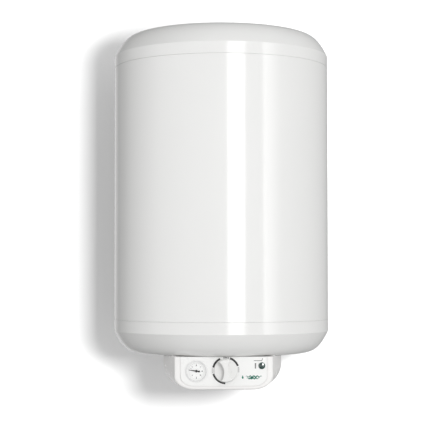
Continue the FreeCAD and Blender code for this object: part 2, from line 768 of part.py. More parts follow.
def cold_diffuser():
    """The cap that spreads the cold water sideways."""
    low, high = COLD_PIPE_TOP_S - DIFFUSER_T * 2, COLD_PIPE_TOP_S - DIFFUSER_T * 2 + DIFFUSER_H
    cup = upright(PIPE_X, PIPE_OUT, low, high, DIFFUSER_R)
    cup = cup.cut(upright(PIPE_X, PIPE_OUT, low, high - DIFFUSER_T, PIPE_R + SNUG))
    slot_s = COLD_PIPE_TOP_S + DIFFUSER_T
    for turn in (0, 90):
        reach = DIFFUSER_R + 1
        slot = block((PIPE_X - reach, PIPE_X + reach),
                     (PIPE_OUT - DIFFUSER_SLOT_W / 2, PIPE_OUT + DIFFUSER_SLOT_W / 2),
                     (slot_s, slot_s + DIFFUSER_SLOT_H))
        slot.rotate(spot(PIPE_X, PIPE_OUT, 0), UP, turn)
        cup = cup.cut(slot)
    return cup


def pipe_collar(x):
    """The coloured ring that covers a pipe's hole in the bottom cap."""
    low = -(CAP_SKIRT + CAP_SHOULDER_H + CAP_CROWN_RISE) - COLLAR_DROP
    collar = upright(x, PIPE_OUT, low, -CAP_SKIRT, COLLAR_R)
    collar = collar.cut(upright(x, PIPE_OUT, low, -CAP_SKIRT, PIPE_R + SNUG))
    return collar.cut(cap_form(SNUG, 0, -1, 0))


# ---------------------------------------------------------------------------
# Control housing
# ---------------------------------------------------------------------------

def housing_outline(out, half, corner, bottom_s, top_s=COVER_TOP_S):
    """The housing's section at one depth: straight sides and two rounded lower corners."""
    wide, high = corner
    rest_w, rest_h = wide * (1 - CIRCLE_PULL), high * (1 - CIRCLE_PULL)
    corner_s = bottom_s + high
    return Part.Wire([
        line(spot(-half, out, top_s), spot(half, out, top_s)),
        line(spot(half, out, top_s), spot(half, out, corner_s)),
        bezier(spot(half, out, corner_s), spot(half, out, bottom_s + rest_h),
               spot(half - rest_w, out, bottom_s), spot(half - wide, out, bottom_s)),
        line(spot(half - wide, out, bottom_s), spot(wide - half, out, bottom_s)),
        bezier(spot(wide - half, out, bottom_s), spot(rest_w - half, out, bottom_s),
               spot(-half, out, bottom_s + rest_h), spot(-half, out, corner_s)),
        line(spot(-half, out, corner_s), spot(-half, out, top_s)),
    ])


def housing_form(front_out, inset, rear_out):
    """The housing's body from a front to a rear depth, inset at the sides and the bottom."""
    share = (FACE_OUT - front_out) / COVER_FLANK
    front_half = COVER_FACE_HALF + share * (COVER_HALF - COVER_FACE_HALF)
    front_corner = [a + share * (b - a) for a, b in zip(COVER_FACE_CORNER, COVER_CORNER)]
    bottom_s = COVER_BOTTOM_S + inset
    sections = [
        (front_out, front_half, front_corner),
        (FACE_OUT - COVER_FLANK, COVER_HALF, COVER_CORNER),
        (rear_out, COVER_HALF, COVER_CORNER),
    ]
    wires = [
        housing_outline(out, half - inset, (corner[0] - inset, corner[1] - inset), bottom_s,
                        COVER_TOP_S + inset)
        for out, half, corner in sections
    ]
    return Part.makeLoft(wires, True, True)


def ledge_space(grow):
    """The space in front of the neck and above the ledge, moved into the housing by grow."""
    return block((-COVER_HALF - 1, COVER_HALF + 1), (FACE_OUT - COVER_LEDGE_DEPTH - grow, FACE_OUT + 1),
                 (LEDGE_S - grow, COVER_TOP_S + COVER_T + 1))


def fascia_form(shrink, back_out, front_out, top_s=COVER_TOP_S):
    """A flat slab of the fascia's outline."""
    half = COVER_FACE_HALF - FASCIA_SIDE_MARGIN - shrink
    corner = (FASCIA_CORNER[0] - shrink, FASCIA_CORNER[1] - shrink)
    bottom_s = COVER_BOTTOM_S + FASCIA_BOTTOM_MARGIN + shrink
    outline = housing_outline(back_out, half, corner, bottom_s, top_s)
    return Part.Face(outline).extrude(FRONT * (front_out - back_out))


def thermostat_screw_heights():
    """Heights of the thermostat's two fixing screws."""
    return KNOB_S - THERMOSTAT_SCREW_SPACING / 2, KNOB_S + THERMOSTAT_SCREW_SPACING / 2


def face_holes(back_out, front_out):
    """Holes through the face for thermometer, thermostat, its screws and the lamp."""
    holes = [
        level(THERMO_X, THERMO_S, back_out, front_out, THERMO_CASE_R + CLEAR),
        level(KNOB_X, KNOB_S, back_out, front_out, THERMOSTAT_NECK_R + CLEAR),
        level(LAMP_X, LAMP_S, back_out, front_out, LENS_SHANK_R + SNUG),
    ]
    for s in thermostat_screw_heights():
        holes.append(level(KNOB_X, s, back_out, front_out, THERMOSTAT_SCREW_R + SNUG))
    return holes


def edges_at(shape, out):
    """The edges of a shape that lie wholly at one distance in front of the axis."""
    y = AXIS_Y - out
    return [e for e in shape.Edges if abs(e.BoundBox.YMin - y) < 0.01 and abs(e.BoundBox.YMax - y) < 0.01]


def control_cover():
    """The moulded housing: its face ends in a level ledge, and a neck goes on to the cap."""
    outside = housing_form(FACE_OUT, 0, COVER_REAR_OUT)
    outside = outside.makeFillet(COVER_EDGE_R, edges_at(outside, FACE_OUT)).cut(ledge_space(0))
    inside = housing_form(FACE_BACK_OUT, COVER_T, COVER_REAR_OUT + COVER_T).cut(ledge_space(COVER_T))
    cuts = [inside, cap_form(CLEAR, 0, -1, 0), fascia_form(0, FACE_OUT - FASCIA_RECESS, FACE_OUT + 1)]
    cuts += face_holes(FACE_BACK_OUT - 1, FACE_OUT + 1)
    for x, out in cover_screw_places():
        cuts.append(upright(x, out, COVER_BOTTOM_S, FLOOR_S, COVER_SCREW_R + CLEAR))
    cuts.append(level(GLAND_X, GLAND_S, COVER_REAR_OUT, COVER_REAR_OUT + COVER_T, GLAND_THREAD_R + CLEAR))
    return outside.cut(cuts)


def fascia_panel():
    """The inset front panel."""
    panel = fascia_form(FASCIA_GROOVE, FACE_OUT - FASCIA_RECESS, FASCIA_OUT, LEDGE_S)
    panel = panel.makeFillet(FASCIA_EDGE_R, edges_at(panel, FASCIA_OUT))
    return panel.cut([cap_form(2 * CLEAR, 0, -1, 0)] + face_holes(FACE_BACK_OUT, FASCIA_OUT + 1))


def cover_screws():
    """Screws from below, up into the cap's posts."""
    screws = []
    for x, out in cover_screw_places():
        head = upright(x, out, COVER_BOTTOM_S - COVER_SCREW_HEAD_H, COVER_BOTTOM_S, COVER_SCREW_HEAD_R)
        low_s = SEAM_Z + COVER_BOTTOM_S - COVER_SCREW_HEAD_H
        rim = [e for e in head.Edges if abs(e.BoundBox.ZMax - low_s) < 0.01]
        head = head.makeFillet(COVER_SCREW_HEAD_H / 2, rim)
        shank = upright(x, out, COVER_BOTTOM_S, FLOOR_S + COVER_SCREW_LENGTH - 1, COVER_SCREW_R)
        arm = COVER_SCREW_HEAD_R * 0.6
        slot_heights = (COVER_BOTTOM_S - COVER_SCREW_HEAD_H - 1, COVER_BOTTOM_S - COVER_SCREW_HEAD_H / 2)
        cross = [block((x - arm, x + arm), (out - 0.5, out + 0.5), slot_heights)]
        cross.append(block((x - 0.5, x + 0.5), (out - arm, out + arm), slot_heights))
        screws.append(head.fuse(shank).cut(cross))
    return Part.makeCompound(screws)


# ---------------------------------------------------------------------------
# Thermometer
# ---------------------------------------------------------------------------

def thermometer_bezel():
    """The thin ring round the glass, resting on the fascia."""
    front = FASCIA_OUT + THERMO_BEZEL_H
    bezel = level(THERMO_X, THERMO_S, FASCIA_OUT, front, THERMO_BEZEL_R)
    bezel = bezel.makeFillet(THERMO_LIP_T, edges_at(bezel, front))
    return bezel.cut([
        level(THERMO_X, THERMO_S, FASCIA_OUT, front - THERMO_LIP_T, THERMO_CASE_R + SNUG),
        level(THERMO_X, THERMO_S, FASCIA_OUT, front, THERMO_LIP_R),
    ])


def thermometer_glass():
    """The clear disc under the bezel's lip."""
    front = FASCIA_OUT + THERMO_BEZEL_H - THERMO_LIP_T - SNUG
    return level(THERMO_X, THERMO_S, front - THERMO_GLASS_T, front, THERMO_CASE_R)


def thermometer_case():
    """The cup behind the dial, with a boss that carries dial and needle."""
    front = FASCIA_OUT + THERMO_BEZEL_H - THERMO_LIP_T - THERMO_GLASS_T - 2 * SNUG
    cup = level(THERMO_X, THERMO_S, CASE_BACK_OUT, front, THERMO_CASE_R)
    hollow = level(THERMO_X, THERMO_S, CASE_BACK_OUT + THERMO_CASE_T, front, THERMO_CASE_R - THERMO_CASE_T)
    boss = level(THERMO_X, THERMO_S, CASE_BACK_OUT, DIAL_OUT - THERMO_DIAL_T, DIAL_BOSS_R)
    bore = level(THERMO_X, THERMO_S, DIAL_OUT - NEEDLE_ARBOR_DEPTH - CLEAR, front, NEEDLE_ARBOR_R + RUNNING)
    return cup.cut(hollow).fuse(boss).cut(bore)


def thermometer_dial():
    """The dial plate."""
    dial = level(THERMO_X, THERMO_S, DIAL_OUT - THERMO_DIAL_T, DIAL_OUT, THERMO_CASE_R - THERMO_CASE_T - SNUG)
    return dial.cut(level(THERMO_X, THERMO_S, DIAL_OUT - THERMO_DIAL_T, DIAL_OUT, NEEDLE_ARBOR_R + CLEAR))


def thermometer_needle():
    """The needle with its hub, tail and arbor, drawn towards 3 o'clock and then turned."""
    back = DIAL_OUT + CLEAR
    corners = [
        (NEEDLE_REACH, NEEDLE_TIP_W / 2), (NEEDLE_REACH, -NEEDLE_TIP_W / 2),
        (0, -NEEDLE_ROOT_W / 2), (-NEEDLE_TAIL, -NEEDLE_TIP_W), (-NEEDLE_TAIL, NEEDLE_TIP_W),
        (0, NEEDLE_ROOT_W / 2), (NEEDLE_REACH, NEEDLE_TIP_W / 2),
    ]
    outline = [spot(THERMO_X + x, back, THERMO_S + s) for x, s in corners]
    blade = Part.Face(Part.makePolygon(outline)).extrude(FRONT * NEEDLE_T)
    needle = blade.fuse([
        level(THERMO_X - NEEDLE_TAIL, THERMO_S, back, back + NEEDLE_T, NEEDLE_TAIL_R),
        level(THERMO_X, THERMO_S, back, back + NEEDLE_HUB_H, NEEDLE_HUB_R),
        level(THERMO_X, THERMO_S, DIAL_OUT - NEEDLE_ARBOR_DEPTH, back, NEEDLE_ARBOR_R),
    ]).removeSplitter()
    needle.rotate(spot(THERMO_X, 0, THERMO_S), FRONT, NEEDLE_ANGLE)
    return needle


# ---------------------------------------------------------------------------
# Knob and thermostat
# ---------------------------------------------------------------------------

def control_knob():
    """A round skirt with a waisted grip bar across it."""
    back = FASCIA_OUT + KNOB_LIFT
    top = back + KNOB_SKIRT_H
    front = top + KNOB_GRIP_H
    skirt = level(KNOB_X, KNOB_S, back, top, KNOB_R)
    skirt = skirt.makeFillet(KNOB_SKIRT_EDGE_R, edges_at(skirt, top))
    grip = level(KNOB_X, KNOB_S, top - 1, front, KNOB_R - KNOB_GRIP_MARGIN)
    shift = KNOB_WAIST / 2 + KNOB_SCOOP_R
    grip = grip.cut([level(KNOB_X + side * shift, KNOB_S, top - 1, front, KNOB_SCOOP_R) for side in (-1, 1)])
    grip = grip.makeFillet(KNOB_GRIP_EDGE_R, edges_at(grip, front))
    knob = skirt.fuse(grip).removeSplitter()
    hollow = level(KNOB_X, KNOB_S, back, back + KNOB_HOLLOW_H, KNOB_HOLLOW_R)
    hub = level(KNOB_X, KNOB_S, back, back + KNOB_HOLLOW_H, KNOB_HUB_R)
    bore = d_bar(FASCIA_OUT, FASCIA_OUT + SPINDLE_IN_KNOB + CLEAR, SNUG)
    knob = knob.cut(hollow.cut(hub)).cut(bore)
    knob.rotate(spot(KNOB_X, 0, KNOB_S), FRONT, KNOB_LEAN)
    return knob


def d_bar(back_out, front_out, grow):
    """A round bar on the knob's axis with one flat, for spindle and bore alike."""
    bar = level(KNOB_X, KNOB_S, back_out, front_out, SPINDLE_R + grow)
    flat_s = KNOB_S + SPINDLE_R - SPINDLE_FLAT + grow
    flat = block((KNOB_X - KNOB_R, KNOB_X + KNOB_R), (back_out, front_out), (flat_s, KNOB_S + KNOB_R))
    return bar.cut(flat)


def thermostat_spindle():
    """The turning spindle: round in the body, with a flat in the knob."""
    flat_from = FASCIA_OUT + KNOB_LIFT
    shaft = level(KNOB_X, KNOB_S, FACE_BACK_OUT - SPINDLE_IN_BODY, flat_from, SPINDLE_R)
    spindle = shaft.fuse(d_bar(flat_from, FASCIA_OUT + SPINDLE_IN_KNOB, 0))
    spindle.rotate(spot(KNOB_X, 0, KNOB_S), FRONT, KNOB_LEAN)
    return spindle


def thermostat_body():
    """The capillary thermostat behind the face."""
    half = THERMOSTAT_W / 2
    body = block((KNOB_X - half, KNOB_X + half), (THERMOSTAT_BACK_OUT, FACE_BACK_OUT),
                 (KNOB_S - half, KNOB_S + half))
    body = body.fuse(level(KNOB_X, KNOB_S, FACE_BACK_OUT, FACE_OUT, THERMOSTAT_NECK_R))
    bore = level(KNOB_X, KNOB_S, FACE_BACK_OUT - SPINDLE_IN_BODY - CLEAR, FACE_OUT, SPINDLE_R + RUNNING)
    screw_back = FASCIA_OUT - THERMOSTAT_SCREW_LENGTH - CLEAR
    screw_holes = [
        level(KNOB_X, s, screw_back, FACE_OUT, THERMOSTAT_SCREW_R + SNUG) for s in thermostat_screw_heights()
    ]
    return body.cut([bore] + screw_holes)


def thermostat_screws():
    """The two screws under the knob that hold the thermostat."""
    screws = []
    for s in thermostat_screw_heights():
        head = level(KNOB_X, s, FASCIA_OUT, FASCIA_OUT + THERMOSTAT_SCREW_HEAD_H, THERMOSTAT_SCREW_HEAD_R)
        shank = level(KNOB_X, s, FASCIA_OUT - THERMOSTAT_SCREW_LENGTH, FASCIA_OUT, THERMOSTAT_SCREW_R)
        screws.append(head.fuse(shank))
    return Part.makeCompound(screws)


# ---------------------------------------------------------------------------
# Lamp
# ---------------------------------------------------------------------------

def indicator_lens():
    """A domed lens on a hollow shank, turned as one piece."""
    def point(r, out):
        return spot(LAMP_X + r, out, LAMP_S)

    rim_out = FASCIA_OUT + LENS_RIM_H
    tip_out = rim_out + LENS_DOME_H
    dome_r = (LENS_R ** 2 + LENS_DOME_H ** 2) / (2 * LENS_DOME_H)
    half_turn = math.asin(LENS_R / dome_r) / 2
    shoulder = point(dome_r * math.sin(half_turn), tip_out - dome_r * (1 - math.cos(half_turn)))
    bore_r = LENS_SHANK_R - LENS_SHANK_T
    back_out = FASCIA_OUT - LENS_SHANK_DEPTH
    corners = [
        point(LENS_R, rim_out), point(LENS_R, FASCIA_OUT), point(LENS_SHANK_R, FASCIA_OUT),
        point(LENS_SHANK_R, back_out), point(bore_r, back_out), point(bore_r, FASCIA_OUT),
        point(0, FASCIA_OUT), point(0, tip_out),
    ]
    dome = Part.Arc(point(0, tip_out), shoulder, point(LENS_R, rim_out)).toShape()
    outline = Part.Wire([dome] + [line(start, end) for start, end in zip(corners, corners[1:])])
    return Part.Face(outline).revolve(point(0, 0), FRONT, 360)


def indicator_clip():
    """The push-on ring behind the face that grips the lens."""
    ends = (FACE_BACK_OUT - LAMP_CLIP_T, FACE_BACK_OUT)
    return level(LAMP_X, LAMP_S, *ends, LAMP_CLIP_R).cut(level(LAMP_X, LAMP_S, *ends, LENS_SHANK_R + SNUG))


def indicator_lamp():
    """The lamp in the lens's shank."""
    return level(LAMP_X, LAMP_S, FASCIA_OUT - LAMP_LENGTH, FASCIA_OUT - CLEAR, LAMP_R)


# ---------------------------------------------------------------------------
# Safety cut-out
# ---------------------------------------------------------------------------

def safety_cutout():
    """The cut-out's case, with a chamber for its reset button."""
    case = block((-CUTOUT_W / 2, CUTOUT_W / 2), CUTOUT_OUTS, (CUTOUT_FOOT_S, PLATE_FOOT_S))
    chamber_s = CUTOUT_FOOT_S + CUTOUT_FLOOR_T
    chamber_h = BUTTON_COLLAR_T + BUTTON_TRAVEL + 2 * CLEAR
    return case.cut([
        upright(0, CUTOUT_OUT, CUTOUT_FOOT_S, chamber_s, BUTTON_R + CLEAR),
        upright(0, CUTOUT_OUT, chamber_s, chamber_s + chamber_h, BUTTON_COLLAR_R + CLEAR),
    ])


def cutout_reset_button():
    """The button that is pushed up to reset the cut-out."""
    collar_s = CUTOUT_FOOT_S + CUTOUT_FLOOR_T + CLEAR
    button = upright(0, CUTOUT_OUT, CUTOUT_FOOT_S - BUTTON_STICKS_OUT, collar_s, BUTTON_R)
    tip_z = SEAM_Z + CUTOUT_FOOT_S - BUTTON_STICKS_OUT
    button = button.makeFillet(0.8, [e for e in button.Edges if abs(e.BoundBox.ZMax - tip_z) < 0.01])
    return button.fuse(upright(0, CUTOUT_OUT, collar_s, collar_s + BUTTON_COLLAR_T, BUTTON_COLLAR_R))


# ---------------------------------------------------------------------------
# Wiring
# ---------------------------------------------------------------------------

def block_way_places():
    """X of each way of the terminal block."""
    pitch = (BLOCK_X[1] - BLOCK_X[0]) / BLOCK_WAYS
    return [BLOCK_X[0] + pitch * (k + 0.5) for k in range(BLOCK_WAYS)]


def terminal_block():
    """The block on the housing's floor where the mains lead is wired."""
    body = block(BLOCK_X, BLOCK_OUT, (FLOOR_S, FLOOR_S + BLOCK_H))
    middle = sum(BLOCK_OUT) / 2
    top_s = FLOOR_S + BLOCK_H
    wells = [upright(x, middle, FLOOR_S + 3, top_s, BLOCK_SCREW_R + CLEAR) for x in block_way_places()]
    return body.cut(wells)


def terminal_screws():
    """The block's clamping screws."""
    middle = sum(BLOCK_OUT) / 2
    screws = []
    for x in block_way_places():
        screw = upright(x, middle, FLOOR_S + 3, FLOOR_S + BLOCK_H - 3, BLOCK_SCREW_R)
        slot = block((x - BLOCK_SCREW_R, x + BLOCK_SCREW_R), (middle - 0.4, middle + 0.4),
                     (FLOOR_S + BLOCK_H - 4, FLOOR_S + BLOCK_H))
        screws.append(screw.cut(slot))
    return Part.makeCompound(screws)


def earth_screw():
    """The screw in the flange plate that takes the earth wire."""
    head = hexagon(spot(EARTH_X, EARTH_OUT, PLATE_FOOT_S - EARTH_HEAD_H), UP, EARTH_HEAD_AF, EARTH_HEAD_H)
    return head.fuse(upright(EARTH_X, EARTH_OUT, PLATE_FOOT_S, PLATE_TOP_S, EARTH_SHANK_R))


def power_wires():
    """Leads between block, thermostat, cut-out, elements and lamp."""
    live_x, neutral_x, _ = block_way_places()
    mouth = max(BLOCK_OUT)
    low_s = FLOOR_S + 8
    plug_s = PIN_FOOT_S - 12
    cutout_front = max(CUTOUT_OUTS)
    routes = [
        [spot(live_x, mouth, low_s), spot(live_x, mouth + 16, low_s), spot(KNOB_X + 32, 100, low_s),
         spot(KNOB_X + 10, THERMOSTAT_BACK_OUT - 18, KNOB_S + 4),
         spot(KNOB_X + 10, THERMOSTAT_BACK_OUT, KNOB_S + 4)],
        [spot(KNOB_X + 4, THERMOSTAT_BACK_OUT, KNOB_S - 8),
         spot(KNOB_X + 4, THERMOSTAT_BACK_OUT - 10, KNOB_S - 8),
         spot(KNOB_X + 4, THERMOSTAT_BACK_OUT - 30, plug_s), spot(KNOB_X + 4, 0, plug_s),
         spot(KNOB_X + 4, cutout_front + 10, CUTOUT_FOOT_S + 12),
         spot(KNOB_X + 4, cutout_front, CUTOUT_FOOT_S + 12)],
        [spot(-2, cutout_front, CUTOUT_FOOT_S + 5), spot(-2, cutout_front + 9, CUTOUT_FOOT_S + 5),
         spot(-4, cutout_front + 26, plug_s),
         spot(-ELEMENT_LEG_X, ELEMENT_LEG_OUT, plug_s), spot(-ELEMENT_LEG_X, ELEMENT_LEG_OUT, PIN_FOOT_S)],
        [spot(neutral_x, mouth, low_s), spot(neutral_x, mouth + 20, low_s),
         spot(ELEMENT_LEG_X + 8, ELEMENT_LEG_OUT - 20, plug_s), spot(ELEMENT_LEG_X, ELEMENT_LEG_OUT, plug_s),
         spot(ELEMENT_LEG_X, ELEMENT_LEG_OUT, PIN_FOOT_S)],
        [spot(neutral_x, mouth, low_s + 5), spot(neutral_x + 8, mouth + 20, low_s + 5),
         spot(neutral_x + 12, 60, low_s + 2), spot(LAMP_X, FASCIA_OUT - LAMP_LENGTH - 20, LAMP_S - 4),
         spot(LAMP_X, FASCIA_OUT - LAMP_LENGTH, LAMP_S)],
    ]
    return Part.makeCompound([tube_along(route, WIRE_R, WIRE_BEND) for route in routes])


def earth_wire():
    """The earth lead from the block to the flange plate."""
    earth_x = block_way_places()[-1]
    low_s = FLOOR_S + 2.5
    return tube_along([
        spot(earth_x, max(BLOCK_OUT), low_s), spot(earth_x - 4, max(BLOCK_OUT) + 14, low_s),
        spot(0, EARTH_OUT + 4, low_s), spot(EARTH_X, EARTH_OUT, low_s + 6),
        spot(EARTH_X, EARTH_OUT, PLATE_FOOT_S - EARTH_HEAD_H),
    ], WIRE_R, WIRE_BEND)


def capillary(side, far_points):
    """A capillary from its bulb, down out of the thermowell and on through far_points."""
    x = WELL_X + side * BULB_PITCH / 2
    return tube_along([spot(x, 0, BULB_FOOT_S)] + far_points, CAPILLARY_R, WIRE_BEND)


def thermostat_capillary():
    """From the left-hand bulb to the thermostat's back."""
    low_s = FLOOR_S + 20
    end_x, end_s = KNOB_X - 8, KNOB_S - 8
    return capillary(-1, [
        spot(WELL_X - BULB_PITCH / 2, 0, low_s), spot(WELL_X + 8, THERMOSTAT_BACK_OUT - 36, low_s - 8),
        spot(end_x, THERMOSTAT_BACK_OUT - 18, end_s), spot(end_x, THERMOSTAT_BACK_OUT, end_s),
    ])


def thermometer_capillary():
    """From the right-hand bulb to the thermometer's case."""
    low_s = FLOOR_S + 26
    end_s = THERMO_S - 6
    return capillary(1, [
        spot(WELL_X + BULB_PITCH / 2, 0, low_s), spot(WELL_X - 12, CASE_BACK_OUT - 50, low_s - 6),
        spot(THERMO_X, CASE_BACK_OUT - 14, end_s), spot(THERMO_X, CASE_BACK_OUT, end_s),
    ])


def cable_gland():
    """The gland in the housing's rear wall, with its bore empty."""
    hex_back = COVER_REAR_OUT - GLAND_HEX_H
    nose_back = hex_back - GLAND_NOSE_H
    inside_out = COVER_REAR_OUT + GLAND_INSIDE
    gland = hexagon(spot(GLAND_X, COVER_REAR_OUT, GLAND_S), BACK, GLAND_AF, GLAND_HEX_H)
    nose = level(GLAND_X, GLAND_S, nose_back, hex_back, GLAND_NOSE_R)
    nose = nose.makeFillet(3.0, edges_at(nose, nose_back))
    gland = gland.fuse([nose, level(GLAND_X, GLAND_S, COVER_REAR_OUT, inside_out, GLAND_THREAD_R)])
    return gland.cut(level(GLAND_X, GLAND_S, nose_back, inside_out, GLAND_BORE_R))


def gland_nut():
    """The nut that holds the gland from inside."""
    seat = COVER_REAR_OUT + COVER_T
    nut = hexagon(spot(GLAND_X, seat, GLAND_S), FRONT, GLAND_AF, GLAND_NUT_T)
    return nut.cut(level(GLAND_X, GLAND_S, seat, seat + GLAND_NUT_T, GLAND_THREAD_R + SNUG))


# ---------------------------------------------------------------------------
# Wall brackets
# ---------------------------------------------------------------------------

def bracket_blank(middle_s, wall_gap):
    """A saddle on the jacket's back, two legs, and ears parallel to the wall."""
    low, high = middle_s - BRACKET_H / 2, middle_s + BRACKET_H / 2
    inner = JACKET_R + SADDLE_GAP
    blank = sector(inner, inner + BRACKET_T, 0, BRACKET_HALF_ANGLE, low, high)
    ear_x = inner * math.sin(math.radians(BRACKET_HALF_ANGLE)) + BRACKET_LEG_RUN
    ear_end = SLOT_SPACING / 2 + EAR_PAST_SLOT
    ear_outs = (AXIS_Y + wall_gap, AXIS_Y + wall_gap + BRACKET_T)
    leg_angle = BRACKET_HALF_ANGLE - math.degrees(BRACKET_T / inner)
    for side in (-1, 1):
        corners = [
            polar(inner, side * BRACKET_HALF_ANGLE), polar(inner, side * leg_angle),
            polar(inner + BRACKET_T, side * leg_angle), (side * ear_x, ear_outs[0]),
            (side * ear_end, ear_outs[0]), (side * ear_end, ear_outs[1]),
            (side * (ear_x + BRACKET_T), ear_outs[1]), polar(inner, side * BRACKET_HALF_ANGLE),
        ]
        foot = Part.makePolygon([spot(x, out, low) for x, out in corners])
        blank = blank.fuse(Part.Face(foot).extrude(UP * BRACKET_H))
    holes = [
        level(0, s, -JACKET_R - WALL_GAP, -TANK_R, BRACKET_STUD_R + CLEAR)
        for s in stud_heights(middle_s)
    ]
    return blank.removeSplitter().cut(holes)


def wall_slot(x, s):
    """A level slot with round ends, through an ear on the wall."""
    run = (SLOT_LENGTH - SLOT_W) / 2
    ends = (AXIS_Y - 1, AXIS_Y + BRACKET_T + 1)
    slot = block((x - run, x + run), ends, (s - SLOT_W / 2, s + SLOT_W / 2))
    return slot.fuse([level(x + side * run, s, *ends, SLOT_W / 2) for side in (-1, 1)])


def upper_wall_bracket():
    """The bracket that the heater hangs from."""
    bracket = bracket_blank(UPPER_BRACKET_S, 0)
    return bracket.cut([wall_slot(side * SLOT_SPACING / 2, UPPER_BRACKET_S) for side in (-1, 1)])


def lower_wall_bracket():
    """The bracket that keeps the heater upright, on rubber bumpers."""
    bracket = bracket_blank(LOWER_BRACKET_S, LOWER_EAR_GAP)
    return bracket.cut([
        level(side * SLOT_SPACING / 2, LOWER_BRACKET_S, AXIS_Y, AXIS_Y + LOWER_EAR_GAP + BRACKET_T + 1,
              BUMPER_SHANK_R + SNUG)
        for side in (-1, 1)
    ])


def wall_bumpers():
    """Rubber buffers pushed through the lower bracket's ears."""
    bumpers = []
    for side in (-1, 1):
        x = side * SLOT_SPACING / 2
        ear_out = AXIS_Y + LOWER_EAR_GAP
        pad = level(x, LOWER_BRACKET_S, AXIS_Y, ear_out, BUMPER_R)
        pad = pad.makeFillet(2.0, edges_at(pad, AXIS_Y))
        shank = level(x, LOWER_BRACKET_S, ear_out, ear_out + BRACKET_T, BUMPER_SHANK_R)
        barb_out = ear_out + BRACKET_T
        barb = level(x, LOWER_BRACKET_S, barb_out, barb_out + BUMPER_BARB_H, BUMPER_BARB_R)
        bumpers.append(pad.fuse([shank, barb]))
    return Part.makeCompound(bumpers)


def bracket_studs():
    """Studs welded to the tank, through spacer, jacket and bracket."""
    return Part.makeCompound(
        [level(0, s, AXIS_Y + BRACKET_STUD_END, -TANK_R, BRACKET_STUD_R) for s in all_stud_heights()]
    )


def bracket_spacers():
    """Sleeves that carry the brackets' pull through the foam."""
    wall_side = -math.sqrt(JACKET_BORE_R ** 2 - SPACER_R ** 2)
    spacers = []
    for s in all_stud_heights():
        sleeve = level(0, s, wall_side, -TANK_R - SNUG, SPACER_R)
        spacers.append(sleeve.cut(level(0, s, wall_side, -TANK_R, BRACKET_STUD_R + CLEAR)))
    return Part.makeCompound(spacers)


def bracket_washers():
    """Washers on the brackets' saddles."""
    seat = -(JACKET_R + SADDLE_GAP + BRACKET_T)
    washers = []
    for s in all_stud_heights():
        washer = level(0, s, seat - BRACKET_WASHER_T, seat, BRACKET_WASHER_R)
        washers.append(washer.cut(level(0, s, seat - BRACKET_WASHER_T, seat, BRACKET_STUD_R + CLEAR)))
    return Part.makeCompound(washers)


def bracket_nuts():
    """Nuts on the bracket studs."""
    seat = -(JACKET_R + SADDLE_GAP + BRACKET_T + BRACKET_WASHER_T)
    nuts = []
    for s in all_stud_heights():
        nut = hexagon(spot(0, seat, s), BACK, BRACKET_NUT_AF, BRACKET_NUT_H)
        nuts.append(nut.cut(level(0, s, seat - BRACKET_NUT_H, seat, BRACKET_STUD_R + SNUG)))
    return Part.makeCompound(nuts)


# ---------------------------------------------------------------------------
# Nodes
# ---------------------------------------------------------------------------

def all_nodes():
    """Every piece by its name."""
    return {
        "outer_jacket": outer_jacket(),
        "jacket_seam_strip": jacket_seam_strip(),
        "jacket_rivets": jacket_rivets(),
        "rating_plate": rating_plate(),
        "top_cap": cap_shell(JACKET_LENGTH, 1),
        "bottom_cap": bottom_cap(),
        "foam_shell": foam_shell(),
        "tank_shell": tank_shell(),
        "flange_ring": flange_ring(),
        "flange_gasket": flange_gasket(),
        "flange_plate": flange_plate(),
        "flange_studs": flange_studs(),
        "flange_washers": flange_washers(),
        "flange_nuts": flange_nuts(),
        "heating_elements": heating_elements(),
        "element_ceramics": element_ceramics(),
        "element_terminals": element_terminals(),
        "anode_rod": anode_rod(),
        "anode_nut": anode_nut(),
        "thermowell": thermowell(),
        "thermostat_bulb": bulb(-1),
        "thermometer_bulb": bulb(1),
        "hot_outlet_pipe": hot_outlet_pipe(),
        "cold_inlet_pipe": water_pipe(PIPE_X, COLD_PIPE_TOP_S),
        "cold_diffuser": cold_diffuser(),
        "hot_collar": pipe_collar(-PIPE_X),
        "cold_collar": pipe_collar(PIPE_X),
        "control_cover": control_cover(),
        "fascia_panel": fascia_panel(),
        "cover_screws": cover_screws(),
        "thermometer_bezel": thermometer_bezel(),
        "thermometer_glass": thermometer_glass(),
        "thermometer_case": thermometer_case(),
        "thermometer_dial": thermometer_dial(),
        "thermometer_needle": thermometer_needle(),
        "thermometer_capillary": thermometer_capillary(),
        "control_knob": control_knob(),
        "thermostat_spindle": thermostat_spindle(),
        "thermostat_body": thermostat_body(),
        "thermostat_screws": thermostat_screws(),
        "thermostat_capillary": thermostat_capillary(),
        "indicator_lens": indicator_lens(),
        "indicator_clip": indicator_clip(),
        "indicator_lamp": indicator_lamp(),
        "safety_cutout": safety_cutout(),
        "cutout_reset_button": cutout_reset_button(),
        "terminal_block": terminal_block(),
        "terminal_screws": terminal_screws(),
        "earth_screw": earth_screw(),
        "power_wires": power_wires(),
        "earth_wire": earth_wire(),
        "cable_gland": cable_gland(),
        "gland_nut": gland_nut(),
        "upper_wall_bracket": upper_wall_bracket(),
        "lower_wall_bracket": lower_wall_bracket(),
        "wall_bumpers": wall_bumpers(),
        "bracket_studs": bracket_studs(),
        "bracket_spacers": bracket_spacers(),
        "bracket_washers": bracket_washers(),
        "bracket_nuts": bracket_nuts(),
    }


os.makedirs("parts", exist_ok=True)
for name, shape in all_nodes().items():
    shape.exportStep(os.path.join("parts", name + ".step"))
    state = "valid" if shape.isValid() else "INVALID"
    print(name, len(shape.Solids), round(shape.Volume / 1000, 2), "cm3", state)
